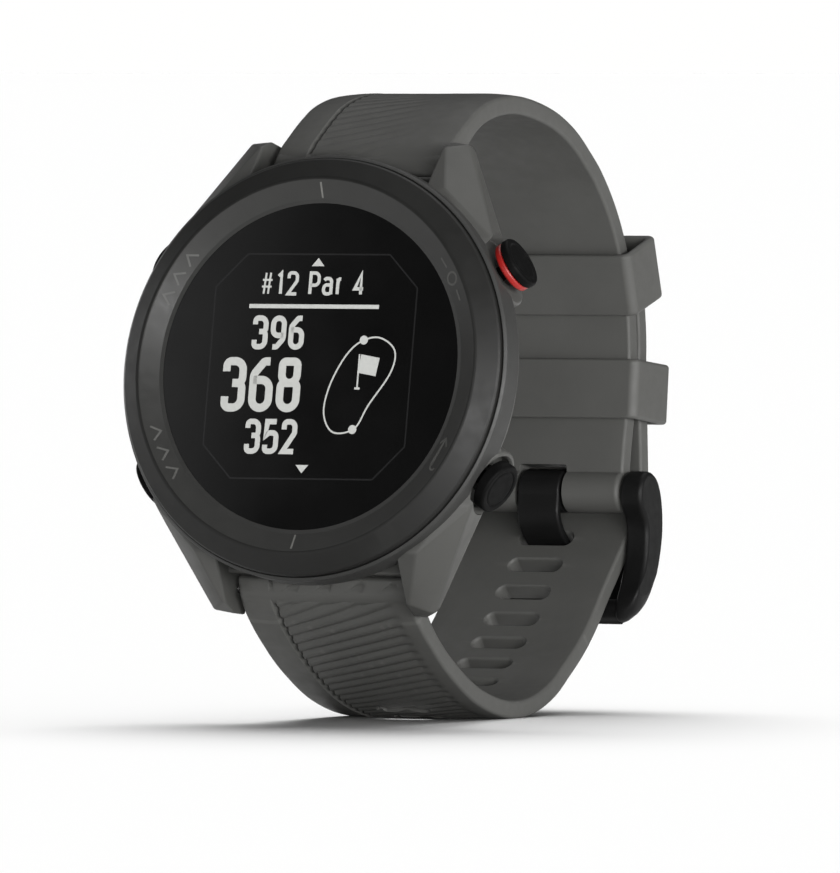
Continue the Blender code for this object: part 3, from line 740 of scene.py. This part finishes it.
def write(bm, text, left, base, height, cell, gap, pen):
    """Draw text on the lens. height and cell are a character's full size, pen its stroke width."""
    cursor = left
    for character in text:
        width = cell * NARROW.get(character, 1.0)
        stroke_width = pen * FINE.get(character, 1.0)
        for order, stroke in enumerate(GLYPHS.get(character, [])):
            points = []
            for point in stroke:
                u = cursor + pen / 2 + point[0] * (width - pen)
                v = base + pen / 2 + point[1] * (height - pen)
                points.append((u, v, (point[2] if len(point) > 2 else 0) * cell * 0.75))
            ribbon(bm, fillet(points, steps=8), stroke_width, on_lens, SIGN_HEIGHT + 0.002 * order)
        cursor += width + gap


def on_lens(u, v, lift):
    return Vector((u, -lift, v))


def draw_title(bm):
    write(bm, "#12 Par 4", -6.4, 7.25, 2.5, 1.3, 0.24, 0.35)


def draw_rule(bm):
    ribbon(bm, [(-7.5, 6.15), (7.3, 6.15)], 0.42, on_lens)


def draw_distances(bm):
    write(bm, "396", -6.9, 1.7, 3.5, 1.78, 0.3, 0.56)
    write(bm, "368", -9.9, -4.7, 5.6, 2.72, 0.42, 0.84)
    write(bm, "352", -6.8, -9.0, 3.6, 1.78, 0.3, 0.56)


def draw_arrows(bm):
    for base, tip in ((10.28, 11.12), (-10.08, -10.92)):
        rows = []
        for lift in (SIGN_HEIGHT, -0.03):
            corners = ((-0.72, base), (0.72, base), (0, tip))
            rows.append([bm.verts.new(on_lens(u, v, lift)) for u, v in corners])
        skin(bm, rows)


def draw_green_map(bm):
    green = spline([(5.6, 2.6), (3.9, 1.0), (2.4, -2.0), (2.0, -4.8), (3.2, -6.7), (5.6, -6.3),
                    (7.0, -3.9), (9.2, -0.6), (9.5, 1.7), (7.7, 3.0)], 0.3, closed=True)
    ribbon(bm, green, 0.17, on_lens, closed=True)
    for centre in ((5.9, 2.75), (5.4, -6.4)):
        ribbon(bm, circle(centre, 0.24, 24), 0.44, on_lens, 0.025, closed=True)
    ribbon(bm, [(5.55, -2.2), (5.55, 1.3)], 0.16, on_lens)
    ribbon(bm, [(5.25, -2.2), (5.85, -2.2)], 0.22, on_lens, 0.022)
    ribbon(bm, [(5.6, 0.35), (7.7, 0.0)], 1.9, on_lens, 0.024)


def make_readout():
    drawings = {"title": draw_title, "rule": draw_rule, "distances": draw_distances,
                "arrows": draw_arrows, "green_map": draw_green_map}
    for name, draw in drawings.items():
        bm = bmesh.new()
        draw(bm)
        publish(as_object(f"readout_{name}", bm), "readout", "watch")


def make_window_edge():
    """A faint line round the display, with cut corners."""
    near = WINDOW_HALF - WINDOW_CUT
    outline = [(near, WINDOW_HALF), (WINDOW_HALF, near), (WINDOW_HALF, -near), (near, -WINDOW_HALF),
               (-near, -WINDOW_HALF), (-WINDOW_HALF, -near), (-WINDOW_HALF, near), (-near, WINDOW_HALF)]
    bm = bmesh.new()
    ribbon(bm, outline, 0.16, on_lens, 0.004, closed=True, base=-0.02)
    publish(as_object("window_edge", bm), "window_edge", "watch")


# ---------------------------------------------------------------- rear

def make_rear_cover():
    outline = [
        (0, 8.6), (17.1, 8.6), (17.1, 8.95), (16.3, 8.95), (16.3, 9.45), (17.1, 9.45), (17.1, 9.65),
        (18.3, 9.65, 0.05), (18.3, 9.95, 0.12), (17.6, COVER_Y, 0.35), (0, COVER_Y),
    ]
    cover = lathe("back_cover", outline)
    for degrees in SCREW_ANGLES:
        x, z = polar(SCREW_RING_R, degrees)
        place = Matrix.Translation((x, 0, z))
        sink = [(0, 9.5), (1.3, 9.5), (1.3, COVER_Y - 0.12, 0.08), (1.45, COVER_Y + 0.03),
                (1.45, 11), (0, 11)]
        combine(cover, lathe("sink", sink, place, 48))
        combine(cover, bar("screw_hole", 0.72, (8, 11), place, segments=32))
    contact_place = Matrix.Translation((0, 10.5, -10.4))
    combine(cover, block("pocket", (7.6, 2.0, 3.4), contact_place, 0.5))
    publish(cover, "case_polymer", "watch", ["rear_cover"])


# ---------------------------------------------------------------- buttons

def make_button(name, degrees):
    place = button_frame(degrees)
    is_ok = name == "ok"
    face = OK_FACE if is_ok else BUTTON_FACE
    under = face - (0.85 if is_ok else 1.25)
    outline = [
        (0, face - 0.1), (1.75, face - 0.04, 0.4), (1.95, face - 0.12, 0.05), (2.1, face - 0.02, 0.08),
        (BUTTON_R, face, 0.3), (BUTTON_R, under, 0.1), (0.75, under), (0.75, 17.85), (0.55, 17.85),
        (0.55, 17.25), (0.75, 17.25), (0.75, 16.7), (0, 16.7),
    ]
    cap = lathe(f"button_cap_{name}", outline, place, 96)
    body = f"button_{name}_body"
    publish(cap, "button_polymer", body, [f"button_{name}"])
    if is_ok:
        ring = [(0.85, 22.65), (2.5, 22.65, 0.1), (2.62, 22.5, 0.1), (2.62, 22.1, 0.1), (2.5, 21.95, 0.1),
                (0.85, 21.95)]
        accent = lathe("accent_ring", ring, place, 96)
        publish(accent, "red_polymer", body, ["ok_accent_ring"])


# ---------------------------------------------------------------- strap

def on_back_arc(radius, degrees):
    y, z = polar(radius, degrees)
    return (BACK_CENTRE[0] + y, BACK_CENTRE[1] + z)


def buckle_side_path():
    lug_and_crown = [(7.5, 20.1), (8.1, 21.8), (9.6, 23.9), (14.6, 28.3), (21.6, 30.7), (29.7, 31.0),
                     (36.0, 29.9)]
    arc = [on_back_arc(BACK_R, degrees) for degrees in range(62, 5, -7)]
    return spline(lug_and_crown + arc + [(54.3, 4.0), (54.2, 0.2), (54.3, -3.0)], STRAP_STEP)


def hole_side_path():
    lug_and_floor = [(7.5, -20.1), (8.1, -21.8), (9.7, -23.6), (13.2, -26.0), (17.6, -28.1),
                     (23.9, -30.0), (30.8, -30.5), (36.4, -29.5), (41.2, -27.2), (44.5, -24.5),
                     (47.5, -21.7), (50.0, -18.7), (52.1, -15.5), (54.2, -12.5), TONGUE_SLOT,
                     (58.3, -5.9), (58.95, -3.9)]
    run_up = [(58.7, -1.6), (57.6, 3.6)]
    arc = [on_back_arc(TAIL_R, degrees) for degrees in range(7, 32, 4)]
    return spline(lug_and_floor + run_up + arc, STRAP_STEP)


def path_normals(path):
    normals = []
    for index in range(len(path)):
        ahead = path[min(index + 1, len(path) - 1)]
        behind = path[max(index - 1, 0)]
        along = (ahead - behind).normalized()
        normals.append(Vector((along.y, -along.x)))
    return normals


def path_lengths(path):
    lengths = [0.0]
    for first, second in zip(path, path[1:]):
        lengths.append(lengths[-1] + (second - first).length)
    return lengths


def groove(distance, half_width):
    """1 on a groove's centre line, easing to 0 at its sides."""
    if abs(distance) >= half_width:
        return 0.0
    return 0.5 + 0.5 * math.cos(math.pi * distance / half_width)


def pattern_depth(x, s, ribs):
    """How far the outer surface lies below its plain level, at x and s from the strap's end."""
    slope, depth, right, soft, end, has_cuts = ribs
    low = BORDER_DEPTH * groove(x - BORDER_X, BORDER_HALF) * (1 - ease(s, end + 4, end + 8))
    if x < BORDER_X:
        return low
    fade = ease(s, 1.6, 2.3) * (1 - ease(s, end - 7, end)) * (1 - ease(x, right - soft, right))
    valley = 0.5 + 0.5 * math.cos(2 * math.pi * (s - slope * x) / RIB_PITCH)
    low += (0.03 + depth * valley ** 2) * fade
    for number in range(CUT_COUNT if has_cuts else 0):
        u = x - CUT_START[0] - CUT_PITCH * number
        v = s - CUT_START[1]
        along = CUT_SLANT[0] * u + CUT_SLANT[1] * v
        across = CUT_SLANT[0] * v - CUT_SLANT[1] * u
        low += CUT_DEPTH * groove(across, CUT_HALF_WIDTH) * groove(along, CUT_HALF_LENGTH)
    return low


def outer_columns(flat):
    """Where the section's points lie across the outer side, as x at a strap's full width."""
    margin = BORDER_X - 0.6
    columns = [-flat + index * (flat + margin) / 6 for index in range(7)]
    columns += [BORDER_X + index * 0.1 for index in range(-4, 5)]
    columns += [BORDER_X + 0.55 + index * PANEL_STEP for index in range(int(13.6 / PANEL_STEP))]
    first = columns[-1]
    return columns + [first + index * (flat - first) / 5 for index in range(1, 6)]


def strap_sizes(lengths, end_half, narrowed_by, thickness, roundness):
    """Half width and thickness at each length. The strap is widest and thickest at the lug."""
    total = lengths[-1]
    sizes = []
    for s in lengths:
        half = STRAP_LUG_HALF + (end_half - STRAP_LUG_HALF) * ramp(s, 10, narrowed_by * total)
        tip = ramp(s, total - 5.5, total)
        half *= math.sqrt(1 - roundness * tip * tip)
        sizes.append((half, thickness + 1.0 * (1 - ramp(s, 0, 9))))
    return sizes


def strap_section(half, thick, s, total, columns, ribs):
    """The strap's cross-section at s, as (x, offset) points with the moulded side upwards."""
    swell = math.sqrt(1 - (1 - min(1.0, (s + 0.06) / STRAP_NOSE)) ** 2)
    tip = ramp(s, total - 0.9, total)
    depth_scale = swell * math.sqrt(1 - 0.85 * tip * tip)
    thin = thick * depth_scale - 0.04
    radius = min(STRAP_CORNER, thin * 0.4)
    flat = half - radius
    full_drop = EDGE_DROP * min(1.0, thin / 2)
    section = []
    for x in columns:
        over = ramp(abs(x), 0.35 - BORDER_X, columns[-1])
        level = thin / 2 - full_drop * over * over - min(pattern_depth(x, s, ribs), thin * 0.4)
        section.append((x * flat / columns[-1], level))
    for sign_n, sign_x, start in ((1, 1, 90), (-1, 1, 0), (-1, -1, -90), (1, -1, 180)):
        centre_n = sign_n * (thin / 2 - radius)
        if sign_n > 0:
            centre_n -= full_drop
        for step in range(1 if sign_n > 0 else 0, 6):
            u, v = polar(radius, start - 18 * step)
            section.append((sign_x * flat + u, centre_n + v))
        if sign_n < 0 and sign_x > 0:
            for index in range(1, 10):
                section.append((flat * (1 - index / 5), -thin / 2))
    return section[:-1]


def strap_band(name, path, sizes, outward, ribs, floor=False):
    """Loft the strap with its moulded outer side. outward is the sign of the outer offsets."""
    lengths = path_lengths(path)
    total = lengths[-1]
    plain_from = ribs[-2] + 9
    columns = outer_columns(STRAP_LUG_HALF - STRAP_CORNER)
    rings = []
    for index, (point, normal, (half, thick), s) in enumerate(
            zip(path, path_normals(path), sizes, lengths)):
        if plain_from < s < total - 6 and index % 3:
            continue
        ring = []
        for x, offset in strap_section(half, thick, s, total, columns, ribs):
            y = point.x + normal.x * offset * outward
            z = point.y + normal.y * offset * outward
            if floor:
                z = max(z, FLOOR_POINT[1] + (y - FLOOR_POINT[0]) * FLOOR_SLOPE)
            ring.append((x, y, z))
        rings.append(ring)
    return loft(name, rings)


def add_lug_eye(strap, sign):
    place = spring_bar_frame(sign)
    half = STRAP_LUG_HALF - 0.1
    combine(strap, bar("eye", ROLL_R, (-half, half), place, 0.4), "UNION")
    combine(strap, bar("eye_bore", 1.02, (-12, 12), place))
    lever_place = Matrix.Translation((7.0, SPRING_BAR[0] + 1.02, sign * (SPRING_BAR[1] - 1.1)))
    lever_turn = Matrix.Rotation(sign * math.radians(47.0), 4, "X")
    combine(strap, block("lever_slot", (3.4, 1.5, 3.0), lever_place @ lever_turn, 0.3))


def make_buckle_side():
    path = buckle_side_path()
    sizes = strap_sizes(path_lengths(path), STRAP_BUCKLE_HALF, 0.5, STRAP_T, 0.0)
    strap = strap_band("strap_upper", path, sizes, -1, UPPER_RIBS)
    add_lug_eye(strap, 1)
    place = cross_frame(BAR)
    roll = bar("roll", BAR_ROLL_R, (-STRAP_BUCKLE_HALF, STRAP_BUCKLE_HALF), place, 0.55, 96)
    combine(strap, roll, "UNION")
    combine(strap, bar("roll_bore", BAR_HOLE_R + 0.05, (-12, 12), place))
    notch_place = Matrix.Translation((0, BAR[0], BAR[1] - 0.45))
    combine(strap, block("notch", (2 * ROLL_NOTCH_HALF, 9.0, 6.1), notch_place, 0.35))
    publish(strap, "silicone", "watch", ["strap_buckle_side"], 40)


# A slot cutter's levels across the strap: the height over its middle and how much wider it is there.
SLOT_INNER_SIDE = [(-1.7, 0.6), (-1.08, 0.26), (-0.98, 0.13), (-0.86, 0.04), (-0.7, 0.0)]
SLOT_OUTER_SIDE = [(0.95, 0.0), (1.04, 0.06), (1.7, 0.4)]
SLOT_THROUGH = [SLOT_INNER_SIDE + SLOT_OUTER_SIDE]
SLOT_FROM_OUTSIDE = [[(-0.6, 0.0)] + SLOT_OUTER_SIDE]
SLOT_WITH_SKIN = [SLOT_INNER_SIDE + [(-0.1, 0.0)], [(0.15, 0.0)] + SLOT_OUTER_SIDE]


def slot_cutter(point, normal, levels):
    """A stadium-shaped cutter whose rim flares on the strap's faces."""
    along = Vector((normal.y, -normal.x))
    rings = []
    for offset, grow in levels:
        ring = []
        for index in range(40):
            angle = 360 * index / 40
            u, v = polar(SLOT_HALF_HEIGHT + grow, angle)
            x = u + math.copysign(SLOT_HALF_WIDTH - SLOT_HALF_HEIGHT, math.cos(math.radians(angle + 0.1)))
            side = point + normal * offset + along * v
            ring.append((x, side.x, side.y))
        rings.append(ring)
    return loft("slot", rings)


def make_hole_side():
    path = hole_side_path()
    lengths = path_lengths(path)
    sizes = strap_sizes(lengths, STRAP_BUCKLE_HALF - 0.1, 0.55, STRAP_T - 0.1, 0.95)
    strap = strap_band("strap_lower", path, sizes, 1, LOWER_RIBS, floor=True)
    add_lug_eye(strap, -1)
    normals = path_normals(path)
    tongue_at = min(range(len(path)), key=lambda index: (path[index] - Vector(TONGUE_SLOT)).length)
    cutters = []
    for number in range(-SLOTS_BEFORE_TONGUE, SLOTS_AFTER_TONGUE + 1):
        wanted = lengths[tongue_at] + number * SLOT_PITCH
        index = min(range(len(path)), key=lambda index: abs(lengths[index] - wanted))
        cuts = SLOT_THROUGH
        if number == 1:
            cuts = SLOT_FROM_OUTSIDE
        elif abs(path[index].x - FLOOR_POINT[0]) < FLOOR_SLOT_REACH:
            cuts = SLOT_WITH_SKIN
        for levels in cuts:
            cutters.append(slot_cutter(path[index], normals[index], levels))
    combine(strap, merge("slots", cutters))
    publish(strap, "silicone", "watch", ["strap_hole_side"], 34)


# ---------------------------------------------------------------- keepers and buckle

def make_keeper(name, centre, tilt, bore, length, body, replaced):
    """A soft-edged ring. bore is where its inner and outer faces are, from the centre along Y."""
    inner_face, outer_face = bore
    low = inner_face - KEEPER_INNER_WALL
    high = outer_face + KEEPER_OUTER_WALL

    def corners(half, bottom, top, radius):
        box = [(half, bottom), (half, top), (-half, top), (-half, bottom)]
        rounded = fillet(box, radius, closed=True, steps=8)
        points = []
        for first, second in zip(rounded, rounded[1:] + rounded[:1]):
            count = 12 if (second - first).length > 2 else 1
            points += [first.lerp(second, index / count) for index in range(count)]
        return points

    outside = corners(KEEPER_HALF, low, high, 1.0)
    inside = corners(KEEPER_BORE_HALF, inner_face, outer_face, 0.55)
    turn = math.radians(tilt)
    rings = []
    for outer, inner in zip(outside, inside):
        wall = outer - inner
        thick = wall.length
        soft = min(0.36, 0.45 * thick)
        ring = []
        for depth, along in rounded_box((0, -length / 2), (thick, length / 2), soft, 4):
            flat = inner + wall * (depth / thick)
            y = centre[0] + flat.y * math.cos(turn) - along * math.sin(turn)
            z = centre[1] + flat.y * math.sin(turn) + along * math.cos(turn)
            ring.append((flat.x, y, z))
        rings.append(ring)
    keeper = loft(name, rings, closed=True)
    publish(keeper, "silicone", body, replaced, 40)


def make_keepers():
    make_keeper("keeper_fixed_band", (54.35, 6.3), 4.0, (-1.5, 4.95), 6.2, "watch", ["keeper_fixed"])
    make_keeper("keeper_sliding_band", BACK_CENTRE, 27.5, (BACK_R - 1.45, TAIL_R + 1.5), 6.6,
                "keeper_sliding_body", ["keeper_sliding"])


def make_buckle_plate(reach):
    """The buckle's outer end: low in the middle, rising in a curve to meet each arm."""
    points_per_mm = 10
    side_view = [(54.2, -17.6), (55.2, -16.8), (56.4, -14.8), (57.1, -12.9), (57.65, -10.9), (57.8, -9.4)]
    rise = spline(side_view, 1 / points_per_mm)
    normals = path_normals(rise)
    count = 16
    rings = []
    for column in range(-28, 29):
        x = reach * column / 28
        top = PLATE_TOP + PLATE_RISE * ramp(abs(x), PLATE_RISE_FROM, PLATE_RISE_TO) ** 1.8
        face = []
        back = []
        for index in range(count + 1):
            place = round(points_per_mm * top * index / count)
            thin = PLATE_HALF_THICKNESS - 0.04 * place / points_per_mm
            thin *= math.sqrt(1 - 0.7 * ramp(index, count - 2, count))
            face.append(rise[place] + normals[place] * thin)
            back.append(rise[place] - normals[place] * thin)
        rings.append([(x, point.x, point.y) for point in face + back[::-1]])
    return loft("plate", rings)


def make_buckle_frame():
    side_view = [(52.4, -3.9), (53.2, -2.6), (54.6, -2.2), (56.3, -2.9), (57.6, -4.9), (58.3, -7.9),
                 (58.1, -11.1), (57.3, -14.1), (56.3, -16.7), (54.9, -18.0), (53.6, -17.6),
                 (53.4, -16.0), (54.3, -13.2), (54.8, -10.4), (54.4, -7.8), (52.7, -5.8)]
    outline = spline(side_view, 0.45, closed=True)
    arms = []
    for sign in (1, -1):
        rings = []
        for x in (ARM_INNER_X, 10.4, 11.2, ARM_OUTER_X):
            rings.append([(sign * x, point.x, point.y) for point in outline])
        arm = soften(loft("arm", rings), 0.5, 6, 40)
        for vert in arm.data.vertices:
            share = ramp(abs(vert.co.x), ARM_INNER_X, ARM_OUTER_X)
            below = max(0.0, ARM_CORNER_TOP - vert.co.z)
            vert.co.z += ARM_CORNER_LIFT * below * (1 - math.sqrt(1 - 0.96 * share * share))
        arms.append(arm)
    frame_piece, far_arm = arms
    combine(frame_piece, far_arm, "UNION")
    reach = ARM_INNER_X + 0.45
    outer_bar = bar("outer_bar", OUTER_BAR_R, (-reach, reach), cross_frame(OUTER_BAR))
    combine(frame_piece, outer_bar, "UNION")
    combine(frame_piece, make_buckle_plate(reach), "UNION")
    frame_piece.name = "buckle_loop"
    publish(frame_piece, "black_polymer", "buckle_frame_body",
            ["buckle_frame"], 40)


def make_tongue():
    blade = spline([(52.9, -4.7), (53.1, -7.0), (54.3, -8.6), TONGUE_SLOT, (57.4, -11.0),
                    (57.75, -13.2), (57.2, -17.2)], 0.3)
    lengths = path_lengths(blade)
    rings = []
    for point, normal, s in zip(blade, path_normals(blade), lengths):
        tip = ramp(s, lengths[-1] - 1.4, lengths[-1])
        half = TONGUE_HALF * math.sqrt(1 - 0.75 * tip * tip)
        thick = BLADE_T * (1 - 0.35 * tip * tip)
        ring = []
        for x, offset in rounded_box((half, thick / 2), (-half, -thick / 2), 0.32, 5):
            side = point + normal * offset
            ring.append((x, side.x, side.y))
        rings.append(ring)
    tongue = loft("buckle_prong", rings)
    place = cross_frame(BAR)
    combine(tongue, bar("hub", BAR_ROLL_R, (-TONGUE_HALF, TONGUE_HALF), place, 0.3, 96), "UNION")
    combine(tongue, bar("hub_bore", BAR_HOLE_R, (-3, 3), place))
    publish(tongue, "black_polymer", "buckle_tongue_body", ["buckle_tongue"], 35)


# ---------------------------------------------------------------- studio

def make_floor():
    bm = bmesh.new()
    bmesh.ops.create_grid(bm, x_segments=1, y_segments=1, size=60.0)
    floor = as_object("floor", bm)
    white = Finish("floor_white", (0.93, 0.93, 0.928), 0.9, {"Specular IOR Level": 0.0})
    floor.data.materials.append(white.material)
    return floor


def lamp(data, place, target, receivers):
    light = bpy.data.objects.new(data.name, data)
    bpy.context.scene.collection.objects.link(light)
    light.location = place
    direction = Vector(target) - light.location
    light.rotation_euler = direction.to_track_quat("-Z", "Y").to_euler()
    light.light_linking.receiver_collection = receivers


def make_softbox(name, place, size, power, receivers):
    data = bpy.data.lights.new(name, "AREA")
    data.shape = "RECTANGLE"
    data.size, data.size_y = size
    data.energy = power
    lamp(data, place, SOFTBOX_AIM, receivers)


def make_floor_light(receivers):
    """Even light on the floor from above and behind, which gives the watch its soft shadow."""
    data = bpy.data.lights.new("floor_light", "SUN")
    data.energy = FLOOR_SUN_STRENGTH
    data.angle = math.radians(FLOOR_SUN_DEGREES)
    lamp(data, FLOOR_SUN, (0, 0, 0), receivers)


def linking(name, floor, state):
    """Receivers for a light that leaves the floor out, or that reaches nothing else."""
    receivers = bpy.data.collections.new(name)
    receivers.objects.link(floor)
    receivers.collection_objects[0].light_linking.link_state = state
    return receivers


def make_world():
    """White to the camera, and a dimmer surround for light and reflections."""
    world = bpy.data.worlds.new("studio")
    world.use_nodes = True
    tree = world.node_tree
    place = add_node(tree, "TexCoord").outputs["Generated"]

    def calculate(operation, *values, kind="Math"):
        sockets = dict(enumerate(values))
        return add_node(tree, kind, sockets, operation=operation).outputs["Value"]

    level = EVEN_STRENGTH
    for direction, power, strength in GLOWS.values():
        towards = calculate("DOT_PRODUCT", place, direction, kind="VectorMath")
        narrowed = calculate("POWER", calculate("MAXIMUM", towards, 0.0), power)
        level = calculate("MULTIPLY_ADD", narrowed, strength, level)
    surround = tree.nodes["Background"]
    feed(tree, surround.inputs["Color"], (1, 1, 1, 1))
    feed(tree, surround.inputs["Strength"], level)
    seen = add_node(tree, "Background", {"Color": (1, 1, 0.996, 1), "Strength": 1.0})
    to_camera = add_node(tree, "LightPath").outputs["Is Camera Ray"]
    shown = add_node(tree, "MixShader", {0: to_camera, 1: surround.outputs[0], 2: seen.outputs[0]})
    feed(tree, tree.nodes["World Output"].inputs["Surface"], shown.outputs["Shader"])
    bpy.context.scene.world = world


def make_camera():
    azimuth = math.radians(VIEW_AZIMUTH)
    elevation = math.radians(VIEW_ELEVATION)
    forward = Vector((-math.sin(azimuth) * math.cos(elevation),
                      math.cos(azimuth) * math.cos(elevation),
                      -math.sin(elevation)))
    data = bpy.data.cameras.new("camera")
    data.sensor_fit = "HORIZONTAL"
    data.sensor_width = 36
    data.lens = VIEW_DISTANCE / (VIEW_WIDTH * MM) * data.sensor_width
    data.shift_x = FACE_LEFT_OF_MIDDLE / VIEW_WIDTH
    data.shift_y = -FACE_ABOVE_MIDDLE / VIEW_WIDTH
    data.clip_end = 200
    camera = bpy.data.objects.new("camera", data)
    bpy.context.scene.collection.objects.link(camera)
    camera.location = Vector(LENS_MOUNT["pos_m"]) - forward * VIEW_DISTANCE
    camera.rotation_euler = forward.to_track_quat("-Z", "Y").to_euler()
    bpy.context.scene.camera = camera


def make_studio():
    floor = make_floor()
    make_world()
    watch_only = linking("watch_only", floor, "EXCLUDE")
    for name, (place, size, power) in SOFTBOXES.items():
        make_softbox(name, place, size, power, watch_only)
    make_floor_light(linking("floor_only", floor, "INCLUDE"))
    bpy.context.scene.view_settings.view_transform = "Standard"


# ---------------------------------------------------------------- the watch

def main():
    make_finishes()
    dress_cad_nodes()
    make_case()
    make_bezel()
    make_bezel_signs()
    make_lens()
    make_readout()
    make_window_edge()
    make_rear_cover()
    for name, degrees in BUTTONS.items():
        make_button(name, degrees)
    make_buckle_side()
    make_hole_side()
    make_keepers()
    make_buckle_frame()
    make_tongue()
    make_studio()
    make_camera()


main()
